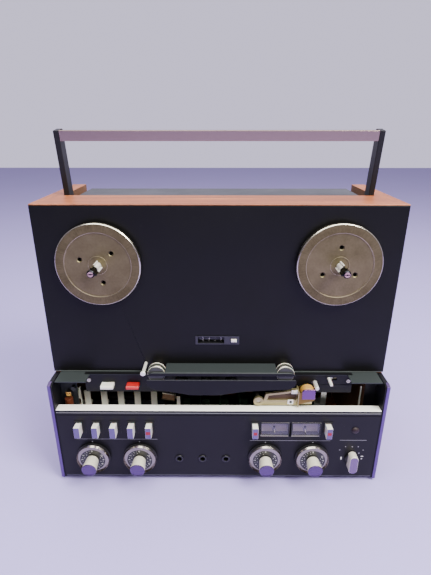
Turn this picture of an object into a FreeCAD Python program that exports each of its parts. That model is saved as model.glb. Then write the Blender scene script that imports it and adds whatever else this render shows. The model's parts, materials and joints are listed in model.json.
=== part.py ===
import FreeCAD, Part
import math
import os

# Reel-to-reel tape recorder, standing upright on four rubber feet.
# Millimetres, +Z up, the front faces -Y, X runs to the right seen from the front.
# The origin is on the table, under the middle of the whole machine.

V = FreeCAD.Vector

# Case
case_width = 413.0
case_height = 355.0
case_depth = 154.5
foot_height = 4.0
foot_radius = 9.0
foot_inset = 24.0
board = 19.0
rail_depth = 59.5
edge_round = 1.2
knob_reach = 52.5

# Deck plate and the lip of wood over it
deck_thickness = 3.0
deck_bottom = 145.2
deck_reveal = 1.4
deck_seat = 3.2
deck_edge_round = 0.8

# Rear cover, one bent sheet that also closes the top
sheet = 1.2
top_recess = 5.6
rear_inset = 1.0
well_width = 210.0
well_height = 62.0
well_depth = 16.0
well_left = -60.0
well_bottom = 34.0
vent_width = 70.0
vent_height = 3.0
vent_pitch = 9.0
vent_rows = 10
vent_columns = 4
vent_bottom = 190.0

# Handle
arm_width = 6.5
arm_depth = 16.0
arm_length = 83.6
bar_height = 11.5
bar_thickness = 5.0
handle_lean = 8.4
handle_pin_radius = 4.0
handle_pin_depth = 8.0
handle_flush = 0.2

# Reels
reel_inset = 71.5
table_radius = 48.0
table_front = 9.6
table_back = 3.6
table_edge = 0.9
table_step_radius = 37.6
table_dish_depth = 1.1
hub_ring_radius = 10.8
hub_ring_width = 1.2
hub_ring_height = 0.5
table_hole_radius = 2.0
table_sink_radius = 3.3
table_sink_depth = 1.3
table_hole_circle = 21.0
table_hub_radius = 12.0
drum_radius = 30.0
drum_front = 7.0
drum_width = 8.0
reel_shaft_radius = 4.0
reel_shaft_grip = 14.0
spindle_reach = 38.7
spindle_core = 3.9
spindle_wing = 5.7
spindle_wing_width = 1.7
spindle_base = 13.8
spindle_pin_radius = 2.0
spindle_pin_length = 9.0
left_hole_turn = 41.4
right_hole_turn = 90.0

# Brakes
band_gap = 0.45
band_thickness = 0.9
band_width = 6.0
band_sweep = 250.0
band_post_radius = 3.5

# Transport chassis and motors
chassis_y = 24.0
chassis_thickness = 3.0
chassis_side_gap = 9.5
chassis_bottom = 120.0
chassis_top_gap = 4.0
chassis_flange = 9.0
post_radius = 4.5
post_inset = 12.0
upper_post_x = 52.0
lower_post_x = 60.0
lower_post_rise = 60.0
chassis_rim = 4.0
chassis_window = 40.0
chassis_window_height = 24.0
chassis_window_x = 60.0
chassis_window_rise = 72.0
motor_radius = 38.5
motor_length = 66.0
motor_rib_count = 3
capstan_motor_radius = 38.0
capstan_motor_length = 58.0

# Tape path
roller_height = 153.3
left_roller_x = -75.0
right_roller_x = 81.0
roller_flange = 10.7
roller_drum = 7.4
roller_back = 9.6
roller_width = 10.2
flange_thickness = 1.5
roller_stud = 2.0
guide_pin_x = -90.2
guide_pin_z = 157.4
guide_pin_radius = 2.0
guide_pin_reach = 25.0
guide_pin_flange = 3.2

# Head cover, its flap and the heads
cover_left = -67.0
cover_right = 76.0
cover_top = 157.4
cover_reach = 22.0
cover_wall = 1.4
cover_corner = 10.0
cover_bevel = 1.0
slot_bottom = 146.8
slot_height = 5.8
flap_left = -87.5
flap_right = 94.5
flap_thickness = 1.6
flap_bevel = 1.2
flap_right_edge = [(94.5, 142.0), (90.8, 136.8), (82.0, 133.8)]
flap_low_edge = [(36.0, 131.4), (0.0, 125.4), (-34.0, 125.4), (-75.0, 133.0)]
flap_left_edge = [(-83.4, 136.4), (-87.5, 142.0)]
flap_lugs = (-46.0, -8.0)
flap_hinge_z = 130.0
flap_hinge_back = 3.4
flap_hinge_radius = 1.5
flap_lug_width = 6.0
head_width = 13.0
head_pitch = 31.0
head_first = -46.0
head_height = 13.0
head_depth = 9.5
head_plate_top = 145.0
head_plate_bottom = 124.0

# Pinch roller and capstan
pinch_pivot_x = 50.0
pinch_pivot_z = 114.0
pinch_stud_radius = 2.5
pinch_ring_radius = 6.2
pinch_roller_x = 110.5
pinch_roller_z = 125.3
pinch_roller_radius = 9.0
pinch_roller_back = 9.4
pinch_roller_width = 11.0
pinch_axle_radius = 1.8
pinch_stroke = 5.0
pinch_gap = 0.3
arm_bar_back = 14.0
arm_bar_thickness = 3.6
arm_bar_height = 6.6
fork_plate = 1.2
arm_frame = [(56.0, 115.0), (59.0, 124.4), (86.5, 128.2), (99.1, 132.4), (99.1, 129.2), (87.0, 125.4), (62.4, 122.0),
             (60.4, 115.0)]
arm_web = [(58.0, 113.0), (60.5, 122.5), (87.0, 126.0), (99.1, 130.0), (99.1, 113.0)]
arm_web_thickness = 1.0
arm_clip = (90.0, 97.6, 125.2, 130.8)
arm_clip_boss = (93.2, 128.2, 1.5)
arm_nut = (85.8, 93.0, 110.4, 117.0)
arm_nut_screw = (89.8, 113.8, 1.6)
arm_foot = (97.0, 103.0, 110.4, 118.2)
arm_ledge = (102.0, 116.0, 110.4, 114.4)
cap_left = 102.4
cap_right = 118.6
cap_low = 120.3
cap_high = 134.4
cap_corner = 1.8
cap_thickness = 1.6
cap_bevel = 0.8
capstan_radius = 2.6
capstan_reach = 20.0
capstan_boss = 7.0
solenoid_key_gap = 20.8
solenoid_width = 17.6
solenoid_height = 10.6
solenoid_middle = 108.2
solenoid_tilt = 12.0
solenoid_reach = 26.0
solenoid_lap = 14.0
frame_sheet = 1.6
coil_gap = 1.2
coil_groove = 0.8
coil_grooves = 3
coil_lap = 0.5
solenoid_seat = 1.0
link_gap = 1.6
link_width = 4.4
link_inset = 1.0
link_thickness = 2.0
link_tab_low = 4.0
link_tab_height = 3.0
link_tab_lap = 1.0
link_low = 90.0
link_high = 108.0

# Lower front: cheeks, shelf, sub-panel
panel_offset = 27.4
cheek_thickness = 5.5
cheek_top = 142.5
cheek_nose = 140.3
cheek_bevel = 7.4
trim_width = 4.0
trim_thickness = 1.0
shelf_side_gap = 3.0
shelf_thickness = 1.5
shelf_depth = 23.5
shelf_lip = 6.0
shelf_end = 37.5
sub_side_gap = 20.5
sub_face = 6.0
sub_thickness = 2.0
sub_bottom = 119.5
sub_ledge = 130.6
sub_ledge_length = 41.0
sub_ledge_depth = 0.7
button_reach = 16.0
button_low = 128.5
button_height = 4.6
white_button_inset = 28.7
red_button_inset = 60.4
button_width = 15.6
button_travel = 3.0
lever_capstan_gap = 16.8523
lever_z = 139.4
lever_radius = 1.9
lever_reach = 20.5
lever_travel = 8.0
lever_plate_width = 7.0
lever_plate_low = 98.0
lever_plate_foot = 15.0

# Control panel
panel_side_gap = 0.5
panel_thickness = 2.5
panel_bottom = 3.8
panel_top = 103.3
panel_groove_drop = 3.4
panel_groove_width = 0.8
panel_groove_depth = 0.6
panel_edge = 0.7
strip_top = 106.7
strip_depth = 11.4

# Keys
key_inset = 27.7
key_pitch = 22.0
key_count = 5
key_width = 10.0
key_low = 73.0
key_height = 15.0
key_reach = 10.4
key_nose = 3.5
key_travel = 4.0
key_web = 3.0
key_web_height = 8.0
key_bar_y = 11.0
key_bar_thickness = 2.5
key_bar_width = 8.0
key_bar_top = 108.0
record_inset = 62.9
record_width = 9.0
record_stem_length = 16.0

# Key switch block
block_right = -74.0
block_front = 18.0
block_depth = 10.0
block_low = 62.0
arch_width = 10.2
arch_top = 118.0
arch_front = 5.0
arch_thickness = 4.0
arch_gate = 2.4
arch_gate_top = 98.5
arch_notch = 108.0

# Small parts on the left cheek
bracket_sheet = 1.2
bracket_width = 21.0
bracket_low = 70.0
bracket_high = 130.0
capacitor_inset = 10.4
motor_capacitor_radius = 5.0
motor_capacitor_top = 109.5
terminal_low = 113.0

# Knobs
knob_height = 35.5
knob_insets = (40.5, 100.5)
knob_right_insets = (140.5, 80.5)
dial_skirt_radius = 22.3
dial_radius = 21.0
dial_lift = 0.8
dial_skirt_height = 2.0
dial_height = 7.6
dial_rim = 5.2
dial_edge = 1.2
dial_bowl = 1.0
dial_tube_radius = 5.0
stem_radius = 9.1
stem_foot_radius = 7.7
stem_neck_radius = 3.0
pot_radius = 12.0
pot_length = 16.0
tube_grip = 7.0
neck_grip = 13.0
selector_inset = 29.5
selector_height = 35.5
selector_length = 24.0
selector_width = 12.0
selector_reach = 17.5
selector_skirt_radius = 8.5

# Jacks and lamp
jack_places = (-50.0, -20.0, 10.0)
jack_height = 32.5
jack_bore = 3.2
jack_collar = 5.2
jack_nut = 1.6
jack_length = 22.0
jack_body = 7.5
lamp_inset = 28.9
lamp_height = 78.0
lamp_radius = 4.7
lamp_dome = 2.6

# Meters
meter_low = 68.0
meter_height = 21.0
meter_width = 36.6
meter_gap = 2.4
meter_key_gap = 4.9
record_gap = 1.5
meter_depth = 24.0
meter_frame = 1.6
meter_scale_depth = 8.6
needle_pivot_height = 5.2
needle_hub_radius = 2.4
needle_pin_radius = 0.8
needle_length = 13.0
needle_width = 0.8
needle_thickness = 0.6
needle_rest = 42.0

# Counter
counter_left = -28.0
counter_right = 25.3
counter_low = 184.4
counter_high = 195.8
counter_bezel = 1.0
counter_window_left = -25.0
counter_window_right = 7.0
counter_window_height = 8.4
counter_wall = 1.2
wheel_radius = 6.4
wheel_width = 7.0
wheel_count = 4
wheel_axle_radius = 1.5
reset_width = 6.8
reset_height = 3.6
reset_x = 18.7
reset_reach = 2.2
reset_travel = 1.8

# Feet of the heavy inner parts, boards and transformer
transformer_width = 78.0
transformer_depth = 66.0
transformer_height = 62.0
transformer_inset = 53.5
transformer_y = 88.0
capacitor_radius = 12.5
capacitor_gap = 8.0
capacitor_height = 58.0
card_thickness = 1.6
card_count = 8
card_gap = 10.0
card_end_gap = 23.5
card_margin = 8.0
card_depth = 100.0
card_height = 62.0
card_front = 18.0

# Rear connectors
phono_radius = 4.15
phono_length = 9.0
phono_hole = 1.6
phono_flange = 6.0
phono_columns = 4
phono_pitch = 20.0
phono_inset = 24.0
phono_rows = 2
phono_row_pitch = 24.0
inlet_width = 30.0
inlet_height = 22.0
inlet_depth = 9.0
inlet_wall = 3.0
remote_pitch = 42.0

# Clearances
running = 0.06
slide_gap = 0.3
part_gap = 0.4

# Places worked out from the sizes above
half_width = case_width / 2
inner_half = half_width - board
cheek_half = half_width - cheek_thickness
panel_half = cheek_half - panel_side_gap
shelf_half = cheek_half - shelf_side_gap
shelf_notch_half = shelf_half - shelf_end
sub_half = inner_half - sub_side_gap
sub_ledge_left = sub_half - sub_ledge_length
chassis_half = inner_half - chassis_side_gap
reel_offset = half_width - reel_inset
reel_height = case_height - board - table_radius
white_button_x = -sub_half + white_button_inset
red_button_x = -sub_half + red_button_inset
key_first_x = -panel_half + key_inset
solenoid_x = key_first_x + key_pitch * (key_count - 1) + solenoid_key_gap
right_record_x = panel_half - record_inset
meter_right = right_record_x - record_width / 2 - meter_key_gap
meter_left = meter_right - 2 * meter_width - meter_gap
left_record_x = meter_left - record_width / 2 - record_gap
knob_places = tuple([inset - panel_half for inset in knob_insets] + [panel_half - inset for inset in knob_right_insets])
selector_x = panel_half - selector_inset
lamp_x = panel_half - lamp_inset
capacitor_x = -cheek_half + capacitor_inset
transformer_x = -inner_half + transformer_inset
capacitors_x = transformer_x + transformer_width / 2 + capacitor_gap + capacitor_radius
card_first_x = capacitors_x + capacitor_radius + card_gap
card_pitch = (inner_half - card_end_gap - card_first_x) / card_count
deck_y = (knob_reach - case_depth) / 2
back_y = deck_y + case_depth
panel_y = deck_y - panel_offset
base_z = foot_height
top_z = base_z + case_height
rail_back_y = deck_y + rail_depth
rear_y = back_y - rear_inset
floor_z = base_z + board
recess_z = top_z - top_recess
well_half = inner_half - arm_width - 2 * part_gap
pivot_z = top_z - handle_flush - arm_depth / 2
lean = math.radians(handle_lean)
pivot_y = rail_back_y + part_gap + (arm_depth / 2 + (top_z - pivot_z) * math.sin(lean)) / math.cos(lean)
channel_z = pivot_z - arm_depth / 2 - part_gap
arm_centre = inner_half - part_gap - arm_width / 2
shelf_top = base_z + deck_bottom
deck_top = top_z - deck_reveal - part_gap / 2
pinch_arm_length = math.hypot(pinch_roller_x - pinch_pivot_x, pinch_roller_z - pinch_pivot_z)
pinch_rest_angle = math.atan2(pinch_roller_z - pinch_pivot_z, pinch_roller_x - pinch_pivot_x)
capstan_angle = pinch_rest_angle + math.radians(pinch_stroke)
capstan_distance = pinch_arm_length + pinch_roller_radius + capstan_radius + pinch_gap
capstan_x = pinch_pivot_x + capstan_distance * math.cos(capstan_angle)
capstan_z = pinch_pivot_z + capstan_distance * math.sin(capstan_angle)
lever_x = capstan_x + lever_capstan_gap
flap_front = deck_y - cover_reach
flap_back = flap_front + flap_thickness
flap_axis_y = flap_back + flap_hinge_back
flap_axis_z = base_z + flap_hinge_z
table_y = deck_y - table_front
spindle_split = table_y - spindle_base
wheel_axis_y = deck_y + deck_thickness + part_gap + wheel_radius
counter_z = base_z + (counter_low + counter_high) / 2
meter_scale_y = panel_y + meter_scale_depth
needle_pivot_z = base_z + meter_low + needle_pivot_height


def box(x0, x1, y0, y1, z0, z1):
    return Part.makeBox(x1 - x0, y1 - y0, z1 - z0, V(x0, y0, z0))


def rod_x(y, z, radius, x0, x1):
    return Part.makeCylinder(radius, x1 - x0, V(x0, y, z), V(1, 0, 0))


def rod_y(x, z, radius, y0, y1):
    return Part.makeCylinder(radius, y1 - y0, V(x, y0, z), V(0, 1, 0))


def rod_z(x, y, radius, z0, z1):
    return Part.makeCylinder(radius, z1 - z0, V(x, y, z0), V(0, 0, 1))


def lathe_y(x, z, outline):
    """Turn an outline of (radius, y) points about the line through (x, z) along Y."""
    points = [V(x + radius, y, z) for radius, y in outline]
    face = Part.Face(Part.makePolygon(points + points[:1]))
    return face.revolve(V(x, 0, z), V(0, 1, 0), 360)


def plate_y(points, y0, y1):
    """A plate with an outline of (x, z) points, from y0 to y1."""
    corners = [V(x, y0, z) for x, z in points]
    face = Part.Face(Part.makePolygon(corners + corners[:1]))
    return face.extrude(V(0, y1 - y0, 0))


def plate_x(points, x0, x1):
    """A plate with an outline of (y, z) points, from x0 to x1."""
    corners = [V(x0, y, z) for y, z in points]
    face = Part.Face(Part.makePolygon(corners + corners[:1]))
    return face.extrude(V(x1 - x0, 0, 0))


def join(pieces):
    """Fuse pieces of one part and merge the faces that run on."""
    return pieces[0].multiFuse(pieces[1:]).removeSplitter()


def cut_all(body, tools):
    return body.cut(Part.makeCompound(tools))


def edges_at(shape, test):
    """The edges whose two ends pass a test on a point."""
    return [edge for edge in shape.Edges if all(test(vertex.Point) for vertex in edge.Vertexes)]


def near(a, b):
    return abs(a - b) < 0.001


def reel_hole_angles(side):
    turn = left_hole_turn if side < 0 else right_hole_turn
    return [math.radians(turn + step * 120) for step in range(3)]


def handle_pin_holes(radius, x0, x1):
    return [rod_x(pivot_y, pivot_z, radius, min(side * x0, side * x1), max(side * x0, side * x1))
            for side in (-1, 1)]


def wooden_cabinet():
    """Veneered sleeve: two sides, a floor and a front rail, open at the front, back and top rear."""
    sleeve = box(-half_width, half_width, deck_y, back_y, base_z, top_z)
    hollow = box(-inner_half, inner_half, deck_y - 1, back_y + 1, floor_z, top_z - board)
    well = box(-inner_half, inner_half, rail_back_y, back_y + 1, floor_z, top_z + 1)
    front = box(-half_width - 1, half_width + 1, deck_y - 1, deck_y + deck_seat, base_z - 1, top_z - deck_reveal)
    sleeve = cut_all(sleeve, [hollow, well, front])
    rims = edges_at(sleeve, lambda p: near(p.z, top_z) and near(p.y, deck_y))
    rims += edges_at(sleeve, lambda p: near(p.z, top_z) and near(abs(p.x), half_width))
    rims += edges_at(sleeve, lambda p: near(p.y, back_y) and near(abs(p.x), half_width))
    sleeve = sleeve.makeFillet(edge_round, rims)
    pins = handle_pin_holes(handle_pin_radius + running, inner_half - 1, inner_half + handle_pin_depth + part_gap)
    return cut_all(sleeve, pins)


def rear_cover():
    """Bent steel sheet: rear wall with vents and a sunk socket well, and the top with the handle's channels."""
    side_gap = inner_half - slide_gap
    front = rail_back_y + slide_gap
    top = box(-well_half, well_half, front, rear_y, recess_z - sheet, recess_z)
    pieces = [top]
    for side in (-1, 1):
        inner = side * (well_half - sheet)
        outer = side * well_half
        edge = side * side_gap
        pieces.append(box(min(inner, outer), max(inner, outer), front, rear_y, channel_z - sheet, recess_z))
        pieces.append(box(min(inner, edge), max(inner, edge), front, rear_y, channel_z - sheet, channel_z))
    pieces.append(box(-well_half, well_half, rear_y - sheet, rear_y, channel_z - sheet, recess_z))
    pieces.append(box(-side_gap, side_gap, rear_y - sheet, rear_y, floor_z + slide_gap, channel_z))
    well_back = rear_y - well_depth
    low = base_z + well_bottom
    pieces.append(box(well_left - sheet, well_left + well_width + sheet, well_back - sheet, rear_y,
                      low - sheet, low + well_height + sheet))
    cover = join(pieces)
    cuts = [box(well_left, well_left + well_width, well_back, rear_y + 1, low, low + well_height)]
    column_pitch = 2 * side_gap / vent_columns
    for column in range(vent_columns):
        centre = -side_gap + column_pitch * (column + 0.5)
        for row in range(vent_rows):
            z = base_z + vent_bottom + row * vent_pitch
            cuts.append(box(centre - vent_width / 2, centre + vent_width / 2,
                            rear_y - sheet - 1, rear_y + 1, z, z + vent_height))
    return cut_all(cover, cuts)


def phono_places():
    """Centres (x, z) of the phono sockets in the well."""
    first = well_left + phono_inset
    middle = base_z + well_bottom + well_height / 2
    return [(first + column * phono_pitch, middle + (row - (phono_rows - 1) / 2) * phono_row_pitch)
            for column in range(phono_columns) for row in range(phono_rows)]


def inlet_centre():
    return well_left + well_width - 28.0, base_z + well_bottom + well_height / 2


def rear_connectors():
    """Phono sockets, a round remote-control socket and the mains inlet, on the floor of the well."""
    seat = rear_y - well_depth
    solids = []
    for x, z in phono_places():
        profile = [(phono_hole, seat), (phono_flange, seat), (phono_flange, seat + 1.4),
                   (phono_radius, seat + 1.4), (phono_radius, seat + phono_length - 0.4),
                   (phono_radius - 0.4, seat + phono_length), (phono_hole, seat + phono_length)]
        solids.append(lathe_y(x, z, profile).fuse(rod_y(x, z, phono_hole + 0.2, seat, seat + 1.4)))
    x, z = inlet_centre()
    housing = box(x - inlet_width / 2, x + inlet_width / 2, seat, seat + inlet_depth,
                  z - inlet_height / 2, z + inlet_height / 2)
    mouth = box(x - inlet_width / 2 + inlet_wall, x + inlet_width / 2 - inlet_wall, seat + 1.5, seat + inlet_depth + 1,
                z - inlet_height / 2 + inlet_wall, z + inlet_height / 2 - inlet_wall)
    blades = [box(x + shift - 1.0, x + shift + 1.0, seat + 1.0, seat + inlet_depth - 1.5,
                  z + rise - 2.0, z + rise + 2.0) for shift, rise in ((-7.0, -3.0), (7.0, -3.0), (0.0, 3.5))]
    solids.append(join([housing.cut(mouth)] + blades))
    x -= remote_pitch
    ring = lathe_y(x, z, [(9.0, seat), (11.0, seat), (11.0, seat + 7.0), (9.0, seat + 7.0)])
    disc = rod_y(x, z, 9.5, seat, seat + 2.5)
    solids.append(ring.fuse(disc))
    return Part.makeCompound(solids)


def rubber_feet():
    feet = []
    for x in (-half_width + foot_inset, half_width - foot_inset):
        for y in (deck_y + foot_inset, back_y - foot_inset):
            foot = Part.makeCone(foot_radius - 1.0, foot_radius, foot_height, V(x, y, 0))
            feet.append(foot)
    return Part.makeCompound(feet)


def deck_plate():
    """Front plate of the deck with the holes for the reel hubs, the counter and the guides."""
    plate = box(-half_width, half_width, deck_y, deck_y + deck_thickness, shelf_top, deck_top)
    plate = plate.makeFillet(deck_edge_round, edges_at(plate, lambda p: near(p.y, deck_y)))
    holes = []
    for side in (-1, 1):
        holes.append(rod_y(side * reel_offset, base_z + reel_height, table_hub_radius + 1.0,
                           deck_y - 1, deck_y + deck_thickness + 1))
    holes.append(box(counter_left + counter_wall, counter_right - counter_wall, deck_y - 1,
                     deck_y + deck_thickness + 1, base_z + counter_low + counter_wall,
                     base_z + counter_high - counter_wall))
    for x in (left_roller_x, right_roller_x):
        holes.append(rod_y(x, base_z + roller_height, roller_stud + slide_gap, deck_y - 1, deck_y + deck_thickness + 1))
    holes.append(rod_y(guide_pin_x, base_z + guide_pin_z, guide_pin_radius + slide_gap,
                       deck_y - 1, deck_y + deck_thickness + 1))
    return cut_all(plate, holes)


def reel_table(side):
    """Turned table with a sunk middle, its drum and shaft, and the fixed lower half of the three-wing spindle."""
    x = side * reel_offset
    z = base_z + reel_height
    front = table_y
    back = deck_y - table_back
    dish = front + table_dish_depth
    ring_face = dish - hub_ring_height
    drum_y = deck_y + drum_front
    grip_end = deck_y + chassis_y + chassis_thickness + reel_shaft_grip
    outline = [
        (0, dish), (hub_ring_radius - hub_ring_width, dish), (hub_ring_radius - hub_ring_width, ring_face),
        (hub_ring_radius, ring_face), (hub_ring_radius, dish), (table_step_radius, dish), (table_step_radius, front),
        (table_radius - table_edge, front), (table_radius, front + table_edge),
        (table_radius, back), (table_hub_radius, back), (table_hub_radius, drum_y),
        (drum_radius, drum_y), (drum_radius, drum_y + drum_width),
        (reel_shaft_radius, drum_y + drum_width), (reel_shaft_radius, grip_end), (0, grip_end)]
    body = lathe_y(x, z, outline)
    sink = [(0, dish - 1), (table_sink_radius, dish - 1), (table_sink_radius, dish),
            (table_hole_radius, dish + table_sink_depth), (table_hole_radius, back + 1), (0, back + 1)]
    holes = [lathe_y(x + table_hole_circle * math.cos(angle), z + table_hole_circle * math.sin(angle), sink)
             for angle in reel_hole_angles(side)]
    body = cut_all(body, holes)
    base = trident(x, z, spindle_split, dish + 1)
    body = join([body, base])
    socket = rod_y(x, z, spindle_pin_radius + running, spindle_split - 1,
                   spindle_split + spindle_pin_length + part_gap)
    return body.cut(socket)


def trident(x, z, y0, y1):
    """Round core with three wings that key a reel."""
    core = rod_y(x, z, spindle_core, y0, y1)
    wings = []
    for step in range(3):
        wing = box(x, x + spindle_wing, y0, y1, z - spindle_wing_width / 2, z + spindle_wing_width / 2)
        wing.rotate(V(x, 0, z), V(0, 1, 0), step * 120 + 30)
        wings.append(wing)
    return join([core] + wings)


def spindle_lock(side):
    """Upper half of the spindle, which turns to hold the reel on; a pin runs down into the lower half."""
    x = side * reel_offset
    z = base_z + reel_height
    tip = deck_y - spindle_reach
    top = spindle_split - part_gap
    body = trident(x, z, tip + 5.0, top)
    cap = lathe_y(x, z, [(0, tip), (spindle_core - 0.9, tip), (spindle_core + 0.5, tip + 1.4),
                         (spindle_core + 0.5, tip + 5.0), (0, tip + 5.0)])
    pin = rod_y(x, z, spindle_pin_radius, top - 1, spindle_split + spindle_pin_length)
    slot = box(x - 2.6, x + 2.6, tip - 1, tip + 0.8, z - 0.5, z + 0.5)
    return join([body, cap, pin]).cut(slot)


def brake_band(side):
    """Steel band round the drum, with a post at each end that carries it on the chassis."""
    x = side * reel_offset
    z = base_z + reel_height
    inner = drum_radius + band_gap
    outer = inner + band_thickness
    y0 = deck_y + drum_front + (drum_width - band_width) / 2
    section = Part.makePolygon([V(x + inner, y0, z), V(x + outer, y0, z), V(x + outer, y0 + band_width, z),
                                V(x + inner, y0 + band_width, z), V(x + inner, y0, z)])
    band = Part.Face(section).revolve(V(x, 0, z), V(0, 1, 0), band_sweep)
    band.rotate(V(x, 0, z), V(0, 1, 0), -band_sweep / 2 + 90)
    posts = []
    middle = inner + band_post_radius + band_thickness / 2
    for end in (-1, 1):
        angle = math.radians(-90 + end * band_sweep / 2)
        posts.append(rod_y(x + middle * math.cos(angle), z + middle * math.sin(angle), band_post_radius,
                           y0, deck_y + chassis_y + 1))
    return [band] + posts


def transport_chassis():
    """Cast plate behind the deck with its flange, posts, brake bands, studs and the capstan bearing."""
    front = deck_y + chassis_y
    back = front + chassis_thickness
    low = base_z + chassis_bottom
    high = top_z - board - chassis_top_gap
    plate = box(-chassis_half, chassis_half, front, back, low, high)
    rim_outer = box(-chassis_half, chassis_half, back - 1, back + chassis_flange, low, high)
    rim_inner = box(-chassis_half + chassis_rim, chassis_half - chassis_rim, back - 2, back + chassis_flange + 1,
                    low - 1, high - chassis_rim)
    pieces = [plate, rim_outer.cut(rim_inner)]
    deck_back = deck_y + deck_thickness
    for side in (-1, 1):
        for x, z in ((chassis_half - post_inset, high - post_inset), (chassis_half - post_inset, shelf_top + post_inset),
                     (upper_post_x, high - post_inset), (lower_post_x, shelf_top + lower_post_rise)):
            pieces.append(rod_y(side * x, z, post_radius, deck_back, front + 1))
        pieces += brake_band(side)
    for x in (left_roller_x, right_roller_x):
        pieces.append(rod_y(x, base_z + roller_height, roller_stud, deck_y - roller_back - roller_width + 0.5, front + 1))
        pieces.append(rod_y(x, base_z + roller_height, roller_stud + 3.0, deck_back, front + 1))
    pieces.append(rod_y(pinch_pivot_x, base_z + pinch_pivot_z, pinch_stud_radius,
                        deck_y - arm_bar_back - arm_bar_thickness + 0.3, back))
    pieces.append(rod_y(pinch_pivot_x, base_z + pinch_pivot_z, pinch_ring_radius, front - 6, back))
    pieces.append(box(pinch_pivot_x - 8, pinch_pivot_x + 8, front, back, base_z + pinch_pivot_z - 8, low + 1))
    pieces.append(rod_y(capstan_x, base_z + capstan_z, capstan_boss, deck_y - sub_face + sub_thickness + 1, front + 1))
    chassis = join(pieces)
    cuts = [rod_y(capstan_x, base_z + capstan_z, capstan_radius + running, deck_y - 10, back + 1)]
    for side in (-1, 1):
        cuts.append(rod_y(side * reel_offset, base_z + reel_height, reel_shaft_radius + 4.0, front - 1, back + 1))
        window = side * chassis_window_x
        sill = shelf_top + chassis_window_rise
        cuts.append(box(window - chassis_window / 2, window + chassis_window / 2, front - 1, back + 1,
                        sill, sill + chassis_window_height))
    cuts.append(box(counter_left - 4, counter_right + 4, front - 1, back + 1,
                    base_z + counter_low - 6, base_z + counter_high + 6))
    return cut_all(chassis, cuts)


def motor(x, z, radius, length, bore, depth):
    """Drum-shaped motor with cooling grooves, its flange on the back of the chassis."""
    front = deck_y + chassis_y + chassis_thickness
    outline = [(bore, front), (radius * 0.55, front), (radius * 0.55, front + 4), (radius, front + 7)]
    groove = (length - 14) / (2 * motor_rib_count + 1)
    y = front + 7
    for step in range(motor_rib_count):
        outline += [(radius, y + groove), (radius - 2.5, y + groove),
                    (radius - 2.5, y + 2 * groove), (radius, y + 2 * groove)]
        y += 2 * groove
    outline += [(radius, front + length - 4), (radius - 4, front + length), (0, front + length),
                (0, front + depth), (bore, front + depth)]
    return lathe_y(x, z, outline)


def drive_motors():
    grip = reel_shaft_grip + 0.5
    motors = [motor(side * reel_offset, base_z + reel_height, motor_radius, motor_length,
                    reel_shaft_radius + running, grip) for side in (-1, 1)]
    motors.append(motor(capstan_x, base_z + capstan_z, capstan_motor_radius, capstan_motor_length,
                        capstan_radius + running, grip))
    return Part.makeCompound(motors)


def capstan_shaft():
    end = deck_y + chassis_y + chassis_thickness + reel_shaft_grip
    tip = deck_y - capstan_reach
    return lathe_y(capstan_x, base_z + capstan_z,
                   [(0, tip), (capstan_radius - 0.5, tip), (capstan_radius, tip + 0.5),
                    (capstan_radius, end), (0, end)])


def guide_roller(x):
    """Tape roller with two flanges, running on a stud of the chassis."""
    back = deck_y - roller_back
    front = back - roller_width
    bore = roller_stud + running
    return lathe_y(x, base_z + roller_height, [
        (bore, front), (roller_flange - 1.2, front), (roller_flange, front + flange_thickness * 0.5),
        (roller_flange, front + flange_thickness), (roller_drum, front + flange_thickness + 0.5),
        (roller_drum, back - flange_thickness - 0.5), (roller_flange, back - flange_thickness),
        (roller_flange, back), (roller_stud + 2.5, back), (roller_stud + 2.5, deck_y - part_gap),
        (bore, deck_y - part_gap)])


def guide_pin():
    """Chrome tape guide, screwed into the chassis through the deck plate."""
    tip = deck_y - guide_pin_reach
    return lathe_y(guide_pin_x, base_z + guide_pin_z, [
        (0, tip), (guide_pin_flange - 0.6, tip), (guide_pin_flange, tip + 0.6), (guide_pin_flange, tip + 1.4),
        (guide_pin_radius, tip + 2.0), (guide_pin_radius, deck_y + chassis_y), (0, deck_y + chassis_y)])


def head_cover():
    """Fixed upper half of the head cover: a top cut back for the rollers, and a front lip that runs on before them."""
    front = deck_y - cover_reach
    inner = front + cover_wall
    high = base_z + cover_top
    lip = base_z + slot_bottom + slot_height
    outline = [(deck_y, high), (front, high), (front, lip), (inner, lip), (inner, high - cover_wall),
               (deck_y - cover_wall, high - cover_wall), (deck_y - cover_wall, shelf_top + 0.2), (deck_y, shelf_top + 0.2)]
    pieces = [plate_x(outline, cover_left, cover_right)]
    ends = (flap_left + cover_corner, flap_right - cover_corner)
    pieces.append(box(ends[0], ends[1], front, inner, lip, high))
    for x in ends:
        keep = box(x - cover_corner, x + cover_corner, front - 1, inner + 1, lip, high)
        pieces.append(rod_y(x, high - cover_corner, cover_corner, front, inner).common(keep))
    bevel = plate_x([(front - 1, high + 1), (front + cover_bevel + 1, high + 1), (front - 1, high - cover_bevel - 1)],
                    flap_left - 1, flap_right + 1)
    pockets = [rod_y(x, base_z + roller_height, roller_flange + 0.6, inner, deck_y + 1)
               for x in (left_roller_x, right_roller_x)]
    return cut_all(join(pieces), pockets + [bevel])


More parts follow.
